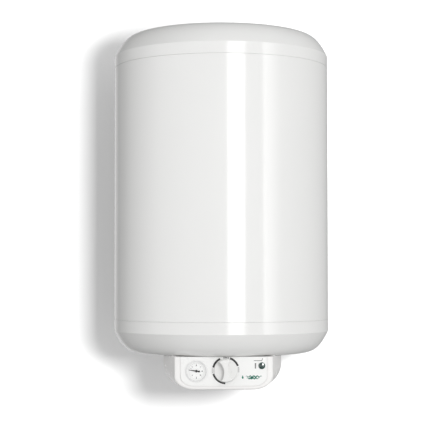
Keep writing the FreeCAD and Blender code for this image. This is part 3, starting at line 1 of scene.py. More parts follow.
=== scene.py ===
"""Looks of a wall-hung storage water heater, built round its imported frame.

The frame gives every place and most sizes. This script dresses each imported
node in its finish, turns the large shells again with soft edges, cuts real
threads, prints the control panel and lights it all as in a small studio.
Lengths are in metres. X runs across, Y goes into the wall and Z is up.
"""

import json
import logging
import math
from dataclasses import dataclass, field
from enum import Enum
from typing import Callable, Iterable, Sequence

import bpy
from mathutils import Matrix, Vector


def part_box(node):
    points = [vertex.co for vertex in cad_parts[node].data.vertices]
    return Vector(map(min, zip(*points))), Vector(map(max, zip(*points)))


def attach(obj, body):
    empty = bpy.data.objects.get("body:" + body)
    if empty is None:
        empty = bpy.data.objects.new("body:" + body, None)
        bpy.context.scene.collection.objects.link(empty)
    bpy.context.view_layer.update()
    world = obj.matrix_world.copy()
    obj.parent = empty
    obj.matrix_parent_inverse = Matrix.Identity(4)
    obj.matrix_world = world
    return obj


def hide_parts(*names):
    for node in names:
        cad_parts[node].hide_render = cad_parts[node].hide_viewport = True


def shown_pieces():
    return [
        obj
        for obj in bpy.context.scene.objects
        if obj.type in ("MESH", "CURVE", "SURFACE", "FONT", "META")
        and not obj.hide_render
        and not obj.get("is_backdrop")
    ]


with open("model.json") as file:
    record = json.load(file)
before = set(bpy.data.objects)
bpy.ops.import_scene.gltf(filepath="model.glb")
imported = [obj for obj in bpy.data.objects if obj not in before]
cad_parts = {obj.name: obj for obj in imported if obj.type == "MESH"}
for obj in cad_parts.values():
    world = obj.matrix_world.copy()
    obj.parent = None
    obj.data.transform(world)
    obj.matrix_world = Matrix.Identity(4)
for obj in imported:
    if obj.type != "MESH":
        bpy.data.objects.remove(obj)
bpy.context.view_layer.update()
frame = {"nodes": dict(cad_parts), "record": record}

MM = 0.001
FULL_TURN = 2 * math.pi
SMOOTH_ANGLE = math.radians(32)     # edges that turn further are sharp
GENTLE_TURN = math.radians(12)      # corners that turn less are left alone
SIDE_SHARE = 2.2                    # a rounded corner takes at most 1 / this of a side
LONG_SIDE = 6                       # times a corner's trim
ON_AXIS = 1e-7                      # a radius that counts as nought
BAND_STEP = 2.5                     # degrees

Colour = tuple[float, float, float]
Point2 = tuple[float, float]

log = logging.getLogger("water_heater")


# ---------------------------------------------------------------------------
# Materials: the wiring
# ---------------------------------------------------------------------------

class Wire:
    """One value in a material's nodes, which takes part in arithmetic."""

    def __init__(self, tree: "Tree", socket: bpy.types.NodeSocket) -> None:
        """Keeps the socket and the tree that it belongs to.

        Args:
            tree: The node tree that holds the socket.
            socket: The output socket to read from.
        """
        self.tree = tree
        self.socket = socket

    def _math(self, operation: str, first: "Feed", second: "Feed") -> "Wire":
        """Adds one Math node that joins two values."""
        return self.tree.node("ShaderNodeMath", {"operation": operation}, {0: first, 1: second})

    def __add__(self, other: "Feed") -> "Wire":
        """The sum."""
        return self._math("ADD", self, other)

    def __radd__(self, other: "Feed") -> "Wire":
        """The sum, with the number first."""
        return self._math("ADD", other, self)

    def __sub__(self, other: "Feed") -> "Wire":
        """The difference."""
        return self._math("SUBTRACT", self, other)

    def __rsub__(self, other: "Feed") -> "Wire":
        """The difference, with the number first."""
        return self._math("SUBTRACT", other, self)

    def __mul__(self, other: "Feed") -> "Wire":
        """The product."""
        return self._math("MULTIPLY", self, other)

    def __gt__(self, other: "Feed") -> "Wire":
        """One where this is the greater, and nought elsewhere."""
        return self._math("GREATER_THAN", self, other)

    def __lt__(self, other: "Feed") -> "Wire":
        """One where this is the smaller, and nought elsewhere."""
        return self._math("LESS_THAN", self, other)


Feed = Wire | float | Sequence[float]


class Tree:
    """A node tree under construction."""

    def __init__(self, tree: bpy.types.NodeTree) -> None:
        """Keeps the tree.

        Args:
            tree: The node tree that nodes are added to.
        """
        self.tree = tree

    def feed(self, socket: bpy.types.NodeSocket, value: Feed) -> None:
        """Links a wire to a socket, or sets the socket to a number or a colour.

        Args:
            socket: The input socket.
            value: What goes into it.
        """
        if isinstance(value, Wire):
            self.tree.links.new(value.socket, socket)
        elif socket.type == "RGBA" and len(value) == 3:
            socket.default_value = (*value, 1.0)
        else:
            socket.default_value = value

    def node(self, kind: str, settings: dict[str, object] | None = None,
             inputs: dict[int | str, Feed] | None = None, output: int | str = 0) -> Wire:
        """Adds any node: its settings first, then the values and links of its sockets.

        Args:
            kind: The node's type.
            settings: Attributes of the node.
            inputs: Socket names or numbers, with what feeds them.
            output: The output to return.

        Returns:
            The chosen output as a wire.
        """
        made = self.tree.nodes.new(kind)
        for key, value in (settings or {}).items():
            setattr(made, key, value)
        for key, value in (inputs or {}).items():
            self.feed(made.inputs[key], value)
        return Wire(self, made.outputs[output])

    def spread(self, wire: Wire, low: float, high: float,
               start: float = 0.0, end: float = 1.0) -> Wire:
        """Maps start..end of a wire to low..high, clamped."""
        return self.node("ShaderNodeMapRange", {"clamp": True}, {
            "Value": wire, "From Min": start, "From Max": end, "To Min": low, "To Max": high})

    def blend(self, factor: Feed, first: Feed, second: Feed) -> Wire:
        """Mixes two colours."""
        return self.node("ShaderNodeMix", {"data_type": "RGBA"}, {0: factor, 6: first, 7: second}, 2)


class Shader(Tree):
    """A material under construction, with one Principled shader at its end."""

    def __init__(self, name: str) -> None:
        """Starts an empty material.

        Args:
            name: The material's name.
        """
        self.material = bpy.data.materials.new(name)
        self.material.use_nodes = True
        super().__init__(self.material.node_tree)
        self.tree.nodes.clear()
        self.output = self.tree.nodes.new("ShaderNodeOutputMaterial")
        self.surface = self.tree.nodes.new("ShaderNodeBsdfPrincipled")
        self.tree.links.new(self.surface.outputs[0], self.output.inputs["Surface"])

    def place(self, stretch: Sequence[float] = (1, 1, 1)) -> Wire:
        """The point on the object in metres, each axis scaled."""
        point = self.node("ShaderNodeTexCoord", output="Object")
        return self.node("ShaderNodeVectorMath", {"operation": "MULTIPLY"}, {0: point, 1: stretch})

    def axis(self, name: str) -> Wire:
        """One coordinate of the point on the object: X, Y or Z."""
        return self.node("ShaderNodeSeparateXYZ", None, {0: self.place()}, name)

    def noise(self, size: float, detail: float = 2.0, stretch: Sequence[float] = (1, 1, 1)) -> Wire:
        """Cloudy noise from 0 to 1.

        Args:
            size: Width of a cloud in metres.
            detail: Octaves of finer noise.
            stretch: How much faster it varies along each axis.

        Returns:
            The noise.
        """
        return self.node("ShaderNodeTexNoise", None,
                         {"Vector": self.place(stretch), "Scale": 1 / size, "Detail": detail})

    def cells(self, size: float, feature: str = "F1") -> Wire:
        """Distance to the middle, or to the edge, of irregular cells of one size."""
        return self.node("ShaderNodeTexVoronoi", {"feature": feature},
                         {"Vector": self.place(), "Scale": 1 / size})

    def bump(self, height: Wire, depth: float) -> None:
        """Raises the surface by a height map.

        Args:
            height: The map, from 0 to 1.
            depth: What 1 stands for, in metres.
        """
        self.dress(Normal=self.node("ShaderNodeBump", None, {
            "Strength": 1.0, "Distance": depth, "Height": height}))

    def dress(self, **sockets: Feed) -> None:
        """Feeds the Principled shader; an underscore in a name stands for a space."""
        for name, value in sockets.items():
            self.feed(self.surface.inputs[name.replace("_", " ")], value)


# ---------------------------------------------------------------------------
# Materials: the finishes
# ---------------------------------------------------------------------------

def tint(colour: Colour, share: float) -> Colour:
    """A colour made lighter, or darker with a share under one."""
    return tuple(min(1.0, channel * share) for channel in colour)


@dataclass(frozen=True)
class Finish:
    """A finish that can be made into a material."""

    def wire(self, shader: Shader) -> None:
        """Wires the finish; each kind has its own."""
        raise NotImplementedError

    def material(self, name: str) -> bpy.types.Material:
        """The finish as a material of that name."""
        shader = Shader(name)
        self.wire(shader)
        return shader.material


@dataclass(frozen=True)
class Enamel(Finish):
    """Baked enamel on sheet steel: hard gloss over a faint orange peel."""

    colour: Colour
    roughness: float = 0.13
    peel_size: float = 7 * MM
    peel_depth: float = 0.012 * MM
    coat: float = 0.35

    def wire(self, shader: Shader) -> None:
        """Cloudy whiteness, a handled gloss and the orange peel."""
        cloud = shader.noise(90 * MM, 3)
        smear = shader.noise(35 * MM, 4)
        shader.dress(
            Base_Color=shader.blend(cloud, tint(self.colour, 0.985), tint(self.colour, 1.01)),
            Roughness=shader.spread(smear, self.roughness * 0.8, self.roughness * 1.25, 0.3, 0.7),
            Coat_Weight=self.coat, Coat_Roughness=0.04, IOR=1.5)
        shader.bump(shader.noise(self.peel_size, 2), self.peel_depth)


@dataclass(frozen=True)
class Moulding(Finish):
    """Injection-moulded plastic with a fine spark-eroded grain."""

    colour: Colour
    roughness: float = 0.25
    grain_size: float = 0.7 * MM
    grain_depth: float = 0.006 * MM
    coat: float = 0.15

    def wire(self, shader: Shader) -> None:
        """Flow marks in the colour, uneven gloss and the grain."""
        flow = shader.noise(60 * MM, 3, (1, 1, 2.5))
        rub = shader.noise(18 * MM, 4)
        shader.dress(
            Base_Color=shader.blend(flow, tint(self.colour, 0.98), tint(self.colour, 1.012)),
            Roughness=shader.spread(rub, self.roughness * 0.85, self.roughness * 1.2, 0.3, 0.7),
            Coat_Weight=self.coat, Coat_Roughness=0.08, IOR=1.49)
        shader.bump(shader.noise(self.grain_size, 2) * 0.6 + shader.noise(9 * MM, 1) * 0.4,
                    self.grain_depth)


class Working(Enum):
    """How a metal surface was left, as the stretch of its marks along X, Y and Z."""

    CAST = (1.0, 1.0, 1.0)
    DRAWN_UPRIGHT = (14.0, 14.0, 1.0)
    TURNED_LEVEL = (1.0, 22.0, 1.0)
    ROLLED = (1.0, 1.0, 8.0)


@dataclass(frozen=True)
class Metal(Finish):
    """Bare or plated metal with the marks of its making and a little tarnish."""

    colour: Colour
    dull: Colour
    roughness: float = 0.3
    working: Working = Working.CAST
    mark_size: float = 3 * MM
    mark_depth: float = 0.01 * MM
    tarnish: float = 0.35

    def wire(self, shader: Shader) -> None:
        """Tarnish in clouds, worked marks in gloss and relief."""
        marks = shader.noise(self.mark_size, 3, self.working.value)
        cloud = shader.spread(shader.noise(14 * MM, 4), 0, self.tarnish, 0.4, 0.75)
        rough = self.roughness + (marks - 0.5) * (0.5 * self.roughness) + cloud * 0.25
        shader.dress(Base_Color=shader.blend(cloud, self.colour, self.dull),
                     Metallic=1 - cloud * 0.4, Roughness=rough)
        shader.bump(marks, self.mark_depth)


@dataclass(frozen=True)
class Spangled(Finish):
    """Zinc-plated steel: small patches of slightly different grey and blue."""

    colour: Colour = (0.62, 0.64, 0.67)
    patch: float = 2.5 * MM
    roughness: float = 0.28

    def wire(self, shader: Shader) -> None:
        """Patches in colour and gloss with fine scratches."""
        patches = shader.cells(self.patch)
        scratch = shader.noise(0.8 * MM, 3, (1, 6, 1))
        shader.dress(
            Base_Color=shader.blend(patches, tint(self.colour, 0.9), tint(self.colour, 1.12)),
            Metallic=1.0,
            Roughness=self.roughness + patches * 0.12 + scratch * 0.06)
        shader.bump(scratch, 0.006 * MM)


@dataclass(frozen=True)
class PowderCoat(Finish):
    """Powder coat: a pebbled half-gloss paint."""

    colour: Colour
    pebble: float = 0.9 * MM

    def wire(self, shader: Shader) -> None:
        """Pebbles in relief and a slightly uneven colour."""
        pebbles = shader.cells(self.pebble, "SMOOTH_F1")
        cloud = shader.noise(40 * MM, 3)
        shader.dress(Base_Color=shader.blend(cloud, tint(self.colour, 0.97), self.colour),
                     Roughness=0.36 + cloud * 0.12, Coat_Weight=0.1)
        shader.bump(pebbles, 0.02 * MM)


@dataclass(frozen=True)
class Rubber(Finish):
    """Moulded rubber with bloom on it."""

    colour: Colour = (0.018, 0.018, 0.019)

    def wire(self, shader: Shader) -> None:
        """A grey bloom over black, and a matt grain."""
        bloom = shader.spread(shader.noise(12 * MM, 5), 0, 0.35, 0.45, 0.8)
        shader.dress(Base_Color=shader.blend(bloom, self.colour, (0.09, 0.09, 0.088)),
                     Roughness=0.62 + bloom * 0.4)
        shader.bump(shader.noise(0.5 * MM, 3), 0.03 * MM)


@dataclass(frozen=True)
class RigidFoam(Finish):
    """Poured foam: fine cells under a cream skin."""

    colour: Colour = (0.86, 0.72, 0.40)

    def wire(self, shader: Shader) -> None:
        """Cells in relief and colour, darker where the skin is thick."""
        cells = shader.cells(1.1 * MM)
        skin = shader.noise(30 * MM, 4)
        shader.dress(Base_Color=shader.blend(skin, tint(self.colour, 0.8), self.colour),
                     Roughness=0.85 - cells * 0.1)
        shader.bump(cells, 0.25 * MM)


@dataclass(frozen=True)
class Ceramic(Finish):
    """Unglazed insulating ceramic with a chalky surface."""

    colour: Colour = (0.82, 0.78, 0.68)

    def wire(self, shader: Shader) -> None:
        """Speckles, and a chalky grain."""
        speckle = shader.cells(0.9 * MM) < 0.12
        shader.dress(Base_Color=shader.blend(speckle, self.colour, tint(self.colour, 0.6)),
                     Roughness=0.6 + shader.noise(2 * MM) * 0.25)
        shader.bump(shader.noise(0.6 * MM, 4), 0.02 * MM)


@dataclass(frozen=True)
class ClearCover(Finish):
    """Thin clear acrylic: nearly invisible but for its gloss and a painted sheen at the edges."""

    haze: float = 0.012

    def wire(self, shader: Shader) -> None:
        """Clear in the middle; at a slant it shows its real gloss and its white base as a painted sheen;
        more solid where it is smeared.
        """
        # at a slant the alpha rises, so the white base colour shows as a painted sheen along with the
        # real gloss
        slant = shader.node("ShaderNodeLayerWeight", None, {"Blend": 0.25}, "Facing")
        smear = shader.noise(9 * MM, 4)
        shader.dress(Base_Color=(0.93, 0.95, 0.95), Roughness=0.03 + smear * 0.04,
                     Alpha=self.haze + smear * 0.012 + slant * slant * 0.4, Coat_Weight=0.5,
                     Coat_Roughness=0.02)


@dataclass(frozen=True)
class JewelLens(Finish):
    """A coloured, polished lamp lens, darker in its depth."""

    colour: Colour
    depth: Colour

    def wire(self, shader: Shader) -> None:
        """Depth seen head-on, colour at the rim, and a wet gloss."""
        slant = shader.node("ShaderNodeLayerWeight", None, {"Blend": 0.5}, "Facing")
        smear = shader.noise(4 * MM, 3)
        shader.dress(Base_Color=shader.blend(slant, self.depth, self.colour),
                     Roughness=0.05 + smear * 0.05, Coat_Weight=1.0, Coat_Roughness=0.01,
                     Specular_IOR_Level=0.8)


@dataclass(frozen=True)
class LampGlass(Finish):
    """The small neon lamp: thin glass over a warm glow-plate."""

    def wire(self, shader: Shader) -> None:
        """Warm streaks under clear glass."""
        streak = shader.noise(2 * MM, 3, (1, 1, 4))
        shader.dress(Base_Color=shader.blend(streak, (0.75, 0.36, 0.16), (0.9, 0.72, 0.55)),
                     Roughness=0.06 + streak * 0.06, Alpha=0.55 + streak * 0.25, Coat_Weight=1.0)


@dataclass(frozen=True)
class Ink(Finish):
    """Pad-printed ink, a little broken up over the grain below."""

    colour: Colour
    breakup: float = 0.06

    def wire(self, shader: Shader) -> None:
        """Uneven cover in colour and a dry gloss."""
        cover = shader.noise(0.6 * MM, 4)
        shader.dress(Base_Color=shader.blend(cover * self.breakup, self.colour, (0.6, 0.6, 0.6)),
                     Roughness=0.42 + cover * 0.15)
        shader.bump(cover, 0.004 * MM)


@dataclass(frozen=True)
class StripedSheath(Finish):
    """Wire insulation whose colour changes with the wire or along it."""

    first: Colour
    second: Colour
    pitch: float
    axis: str = "X"

    def wire(self, shader: Shader) -> None:
        """Bands of the two colours under a waxy gloss."""
        bands = shader.node("ShaderNodeMath", {"operation": "FRACT"},
                            {0: shader.axis(self.axis) * (1 / self.pitch)})
        wax = shader.noise(3 * MM, 2)
        shader.dress(Base_Color=shader.blend(bands > 0.5, self.first, self.second),
                     Roughness=0.38 + wax * 0.15)
        shader.bump(wax, 0.01 * MM)


def finishes() -> dict[str, Finish]:
    """Every material slot's finish, by the slot's name."""
    return {
        "enamel_steel": Enamel((0.80, 0.80, 0.79)),
        "cap_plastic": Moulding((0.80, 0.80, 0.79), 0.15, coat=0.3),
        "cover_plastic": Moulding((0.86, 0.85, 0.84), 0.24),
        "fascia_plastic": Moulding((0.86, 0.86, 0.85), 0.30),
        # the knob's grey, darker than the white panel, is painted shade; knob_light brightens its lit
        # faces
        "knob_plastic": Moulding((0.64, 0.64, 0.63), 0.28, 0.4 * MM),
        "foam": RigidFoam(),
        "tank_steel": Enamel((0.02, 0.05, 0.13), 0.22, 12 * MM, 0.05 * MM),
        "flange_steel": PowderCoat((0.10, 0.11, 0.12)),
        "zinc_steel": Spangled(),
        "bracket_steel": PowderCoat((0.80, 0.80, 0.79)),
        "copper": Metal((0.80, 0.36, 0.20), (0.30, 0.13, 0.08), 0.24, Working.DRAWN_UPRIGHT),
        "anode_magnesium": Metal((0.58, 0.58, 0.56), (0.36, 0.36, 0.35), 0.5, mark_depth=0.06 * MM),
        "brass": Metal((0.80, 0.58, 0.22), (0.40, 0.27, 0.10), 0.22, Working.TURNED_LEVEL),
        "ceramic": Ceramic(),
        "gasket_rubber": Rubber(),
        "bumper_rubber": Rubber((0.022, 0.022, 0.024)),
        "hot_plastic": Moulding((0.55, 0.02, 0.015), 0.3),
        "cold_plastic": Moulding((0.012, 0.06, 0.42), 0.3),
        "dark_plastic": Moulding((0.02, 0.02, 0.022), 0.42, 0.5 * MM, 0.02 * MM, 0.0),
        "grey_plastic": Moulding((0.30, 0.31, 0.32), 0.45, 0.5 * MM, 0.02 * MM, 0.0),
        "button_plastic": Moulding((0.55, 0.02, 0.015), 0.25, 0.4 * MM),
        "block_plastic": Moulding((0.74, 0.71, 0.60), 0.4, 0.5 * MM, 0.02 * MM, 0.0),
        "bezel_plastic": Moulding((0.78, 0.78, 0.78), 0.25, 0.4 * MM),
        "dial_white": Moulding((0.90, 0.90, 0.89), 0.45, 0.3 * MM, 0.002 * MM, 0.0),
        "needle_black": Moulding((0.008, 0.008, 0.008), 0.4, 0.3 * MM, 0.004 * MM, 0.0),
        "clear_glass": ClearCover(),
        "lens_green": JewelLens((0.0, 0.13, 0.09), (0.0, 0.02, 0.016)),
        "lamp_glass": LampGlass(),
        "wire_plastic": StripedSheath((0.16, 0.06, 0.025), (0.02, 0.07, 0.36), 14 * MM),
        "earth_plastic": StripedSheath((0.07, 0.33, 0.05), (0.75, 0.66, 0.03), 6 * MM, "Z"),
        "foil_plate": Metal((0.74, 0.74, 0.74), (0.5, 0.5, 0.5), 0.34, Working.ROLLED, tarnish=0.15),
        "black_ink": Ink((0.010, 0.010, 0.011)),
        "grey_ink": Ink((0.30, 0.30, 0.31)),
        "pale_ink": Ink((0.55, 0.55, 0.56)),
        "green_ink": Ink((0.0, 0.17, 0.11)),
    }


# ---------------------------------------------------------------------------
# Shapes
# ---------------------------------------------------------------------------

class Facing(Enum):
    """Which way a turned shape's heights run, as its height axis and zero direction."""

    UP = (Vector((0, 0, 1)), Vector((1, 0, 0)))
    BACK = (Vector((0, 1, 0)), Vector((1, 0, 0)))

    def turn(self) -> Matrix:
        """The rotation from the turned shape's own axes to the frame's."""
        height, start = self.value
        return Matrix((start, height.cross(start), height)).transposed()


def arc(middle: Point2, radius: float, start: float, end: float, steps: int) -> list[Point2]:
    """Points along an arc.

    Args:
        middle: The arc's centre.
        radius: Its radius.
        start: Angle of the first point, in radians, anticlockwise from the first axis.
        end: Angle of the last point.
        steps: How many stretches lie between the points.

    Returns:
        One point more than there are steps.
    """
    turns = [start + (end - start) * k / steps for k in range(steps + 1)]
    return [(middle[0] + radius * math.cos(t), middle[1] + radius * math.sin(t)) for t in turns]


def curve(first: Point2, pull_1: Point2, pull_2: Point2, last: Point2, steps: int) -> list[Point2]:
    """Points along a cubic curve with two handles."""
    found = []
    for k in range(steps + 1):
        t = k / steps
        weights = ((1 - t) ** 3, 3 * t * (1 - t) ** 2, 3 * t * t * (1 - t), t ** 3)
        found.append(tuple(sum(w * p[i] for w, p in zip(weights, (first, pull_1, pull_2, last)))
                           for i in (0, 1)))
    return found


def softened(points: Sequence[Point2], radius: float, steps: int = 4,
             closed: bool = True) -> list[Point2]:
    """Rounds the sharp corners of an outline and leaves its gentle ones.

    Args:
        points: The outline's corners in order.
        radius: How round each corner gets, where its sides leave room.
        steps: Stretches in each rounded corner.
        closed: Whether the last point joins the first.

    Returns:
        The new outline.
    """
    corners = [Vector(p) for p in points]
    found = []
    for k, corner in enumerate(corners):
        if not closed and k in (0, len(corners) - 1):
            found.append(tuple(corner))
            continue
        back, ahead = corners[k - 1] - corner, corners[(k + 1) % len(corners)] - corner
        turn = math.pi - back.angle(ahead)
        if turn < GENTLE_TURN:
            found.append(tuple(corner))
            continue
        trim = min(radius * math.tan(turn / 2), back.length / SIDE_SHARE,
                   ahead.length / SIDE_SHARE)
        start, end = corner + back.normalized() * trim, corner + ahead.normalized() * trim
        if back.length > LONG_SIDE * trim:      # a second point keeps its shading true
            found.append(tuple(corner + back.normalized() * 2 * trim))
        for j in range(steps + 1):
            t = j / steps
            found.append(tuple(start * (1 - t) ** 2 + corner * 2 * t * (1 - t) + end * t * t))
        if ahead.length > LONG_SIDE * trim:
            found.append(tuple(corner + ahead.normalized() * 2 * trim))
    return found


@dataclass
class Shape:
    """A mesh in the making: points and faces in the frame's axes."""

    points: list[Vector] = field(default_factory=list)
    faces: list[tuple[int, ...]] = field(default_factory=list)

    def add(self, points: Iterable[Vector], faces: Iterable[Sequence[int]]) -> None:
        """Adds points, and faces that count from the first of them.

        Args:
            points: The new points.
            faces: Corners of each new face, as numbers among the new points.
        """
        first = len(self.points)
        self.points.extend(points)
        self.faces.extend(tuple(first + k for k in face) for face in faces)

    def lathe(self, profile: Sequence[Point2], centre: Vector, facing: Facing, segments: int,
              relief: Callable[[float, float, float], float] | None = None) -> None:
        """Turns a closed profile of (radius, height) round an axis.

        Args:
            profile: The closed outline; points on the axis have radius 0.
            centre: Where the axis and height 0 meet.
            facing: Which way the heights run.
            segments: How many steps make a full turn.
            relief: Gives a point's radius from its radius, height and angle.
        """
        turn = facing.turn()
        points, rows = [], []
        for radius, height in profile:
            if radius < ON_AXIS:
                rows.append([len(points)] * segments)
                points.append(centre + turn @ Vector((0, 0, height)))
                continue
            rows.append([len(points) + k for k in range(segments)])
            for k in range(segments):
                angle = FULL_TURN * k / segments
                r = relief(radius, height, angle) if relief else radius
                points.append(centre + turn @ Vector((r * math.cos(angle), r * math.sin(angle), height)))
        faces = []
        for row, after in zip(rows, rows[1:] + rows[:1]):
            for k in range(segments):
                n = (k + 1) % segments
                corners = list(dict.fromkeys((row[k], row[n], after[n], after[k])))
                if len(corners) > 2:
                    faces.append(tuple(corners))
        self.add(points, faces)

    def slab(self, outline: Sequence[Point2], front: float, back: float,
             warp: Callable[[float, float, float], Vector] | None = None) -> None:
        """Adds a flat print or plate: an outline in X and Z between two depths.

        Args:
            outline: Corners in order, as (x, z); it has no hole.
            front: Y of the side that faces the room.
            back: Y of the side that faces the wall.
            warp: Places a corner from its x, z and depth; without it they are the place.
        """
        at = warp or (lambda x, z, y: Vector((x, y, z)))
        count = len(outline)
        points = [at(x, z, y) for y in (front, back) for x, z in outline]
        faces = [tuple(range(count)), tuple(reversed(range(count, 2 * count)))]
        faces += [(k, k + count, (k + 1) % count + count, (k + 1) % count) for k in range(count)]
        self.add(points, faces)

    def mesh(self, name: str) -> bpy.types.Mesh:
        """The finished mesh: outward faces, smooth but for its true edges.

        Args:
            name: The mesh's name.

        Returns:
            The mesh.
        """
        made = bpy.data.meshes.new(name)
        made.from_pydata(self.points, [], self.faces)
        made.validate()
        if volume(made) < 0:
            made.flip_normals()
        made.shade_smooth()
        made.set_sharp_from_angle(angle=SMOOTH_ANGLE)
        return made


def volume(mesh: bpy.types.Mesh) -> float:
    """The signed volume of a closed mesh, negative when it is inside out."""
    total = 0.0
    for face in mesh.polygons:
        first, *rest = (mesh.vertices[k].co for k in face.vertices)
        total += sum(first.dot(a.cross(b)) for a, b in zip(rest, rest[1:]))
    return total / 6


def band(middle: Point2, inner: float, outer: float, start: float, end: float) -> list[Point2]:
    """The outline of a stretch of ring, its angles in degrees anticlockwise from 3 o'clock."""
    a, b = math.radians(start), math.radians(end)
    steps = max(2, int(abs(end - start) / BAND_STEP))
    return arc(middle, outer, a, b, steps) + arc(middle, inner, b, a, steps)


def bar(start: Point2, end: Point2, width: float) -> list[Point2]:
    """The outline of a straight stroke between two points."""
    first, last = Vector(start), Vector(end)
    along = (last - first).normalized()
    side = Vector((-along.y, along.x)) * (width / 2)
    return [tuple(p) for p in (first - side, last - side, last + side, first + side)]


def ribbon(line: Sequence[Point2], width: Callable[[float], float]) -> list[Point2]:
    """The outline of a curved stroke.

    Args:
        line: Points along its middle.
        width: Its width at a share of its length.

    Returns:
        The closed outline.
    """
    middle = [Vector(p) for p in line]
    left, right = [], []
    for k, point in enumerate(middle):
        along = (middle[min(k + 1, len(middle) - 1)] - middle[max(k - 1, 0)]).normalized()
        side = Vector((-along.y, along.x)) * (width(k / (len(middle) - 1)) / 2)
        left.append(tuple(point + side))
        right.append(tuple(point - side))
    return right + left[::-1]


@dataclass(frozen=True)
class Thread:
    """A screw thread, cut as a real helix."""

    crest: float
    pitch: float
    depth: float
    flank: float        # how steep the groove's sides are; at 2 the crest has no flat

    def radius(self, height: float, angle: float, share: float = 1.0) -> float:
        """The thread's radius at a point, its groove cut to a share of its depth."""
        turn = (height / self.pitch - angle / FULL_TURN) % 1
        return self.crest - max(0.0, 1 - self.flank * abs(turn - 0.5)) * self.depth * share


# ---------------------------------------------------------------------------
# Sub-assemblies
# ---------------------------------------------------------------------------

def middle_of(node: str) -> Vector:
    """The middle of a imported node's box."""
    low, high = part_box(node)
    return (low + high) / 2


def width_of(node: str) -> float:
    """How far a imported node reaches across."""
    low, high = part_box(node)
    return high.x - low.x


@dataclass
class Wardrobe:
    """The finished materials by slot, each made once."""

    made: dict[str, bpy.types.Material] = field(default_factory=dict)

    def __post_init__(self) -> None:
        """Makes every finish."""
        for slot, finish in finishes().items():
            self.made[slot] = finish.material(slot)

    def __getitem__(self, slot: str) -> bpy.types.Material:
        """The material of a slot."""
        return self.made[slot]


@dataclass
class Assembly:
    """A group of pieces that are built and dressed together."""

    wardrobe: Wardrobe

    def build(self) -> None:
        """Builds the pieces; each kind has its own."""
        raise NotImplementedError

    def keep(self, *nodes: str) -> None:
        """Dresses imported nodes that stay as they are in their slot's finish."""
        slots = {part["node"]: part["material_slot"] for part in frame["record"]["subparts"]}
        for name in nodes:
            self.dress(frame["nodes"][name], slots[name])
            log.info("kept %s in %s", name, slots[name])

    def dress(self, piece: bpy.types.Object, slot: str, finish: str | None = None) -> None:
        """Gives a piece one material in place of any it had."""
        piece.data.materials.clear()
        piece.data.materials.append(self.wardrobe[finish or slot])

    def piece(self, name: str, shape: Shape, slot: str, body: str = "root",
              stands_for: Sequence[str] = (), finish: str | None = None) -> None:
        """Makes an object of a shape, dresses it and ties it to the frame.

        Args:
            name: The piece's name.
            shape: Its points and faces.
            slot: The record's material slot that it belongs to.
            body: The body that it moves with.
            stands_for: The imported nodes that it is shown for.
            finish: Its finish, where that isn't the slot's own.
        """
        made = bpy.data.objects.new(name, shape.mesh(name))
        bpy.context.scene.collection.objects.link(made)
        self.dress(made, slot, finish)
        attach(made, body)
        if stands_for:
            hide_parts(*stands_for)
        log.info("built %s: %d points on %s", name, len(shape.points), body)


@dataclass
class Drum(Assembly):
    """The enamelled jacket with what is fixed to its back and side."""

    sheet: float = 0.8 * MM
    edge: float = 0.2 * MM
    segments: int = 400
    plate_lift: float = 0.42 * MM       # from the jacket to the back of the ink on the plate
    ink: float = 0.03 * MM
    line: float = 0.5 * MM
    border_reach: float = 37 * MM       # from the plate's middle to each side
    border_margin: float = 3 * MM       # from its top and foot
    heading_rise: float = 14 * MM       # from its foot to the line across it
    border_steps: int = 16

    def build(self) -> None:
        """Turns the jacket and keeps strip, rivets and plate."""
        self.jacket()
        self.plate_border()
        self.keep("jacket_seam_strip", "jacket_rivets", "rating_plate")

    def jacket(self) -> None:
        """The rolled sheet, its two cut edges broken."""
        low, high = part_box("outer_jacket")
        centre = middle_of("outer_jacket")
        radius = width_of("outer_jacket") / 2
        bore = radius - self.sheet
        profile = softened([(bore, low.z), (radius, low.z), (radius, high.z), (bore, high.z)], self.edge)
        shape = Shape()
        shape.lathe(profile, Vector((centre.x, centre.y, 0)), Facing.UP, self.segments)
        self.piece("jacket_sheet", shape, "enamel_steel", stands_for=["outer_jacket"])

    def plate_border(self) -> None:
        """The border printed on the blank plate, and a line across it."""
        drum, plate = middle_of("outer_jacket"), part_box("rating_plate")
        radius = width_of("outer_jacket") / 2 + self.plate_lift
        middle = (plate[0] + plate[1]) / 2
        turn = math.atan2(middle.y - drum.y, middle.x - drum.x)
        tall = plate[1].z - plate[0].z

        def on_drum(along: float, z: float, lift: float) -> Vector:
            """A point on the plate, from its distance round the drum."""
            angle = turn + along / radius
            r = radius - lift
            return Vector((drum.x + r * math.cos(angle), drum.y + r * math.sin(angle), middle.z + z))

        reach, rise, line = self.border_reach, tall / 2 - self.border_margin, self.line
        shape = Shape()
        for z in (-rise, rise, -rise + self.heading_rise):
            for k in range(self.border_steps):
                a, b = (-reach + 2 * reach * j / self.border_steps for j in (k, k + 1))
                shape.slab([(a, z), (b, z), (b, z + line), (a, z + line)], -self.ink, 0, on_drum)
        for x in (-reach, reach - line):
            shape.slab([(x, -rise), (x + line, -rise), (x + line, rise), (x, rise)],
                       -self.ink, 0, on_drum)
        self.piece("plate_border", shape, "foil_plate", finish="grey_ink")


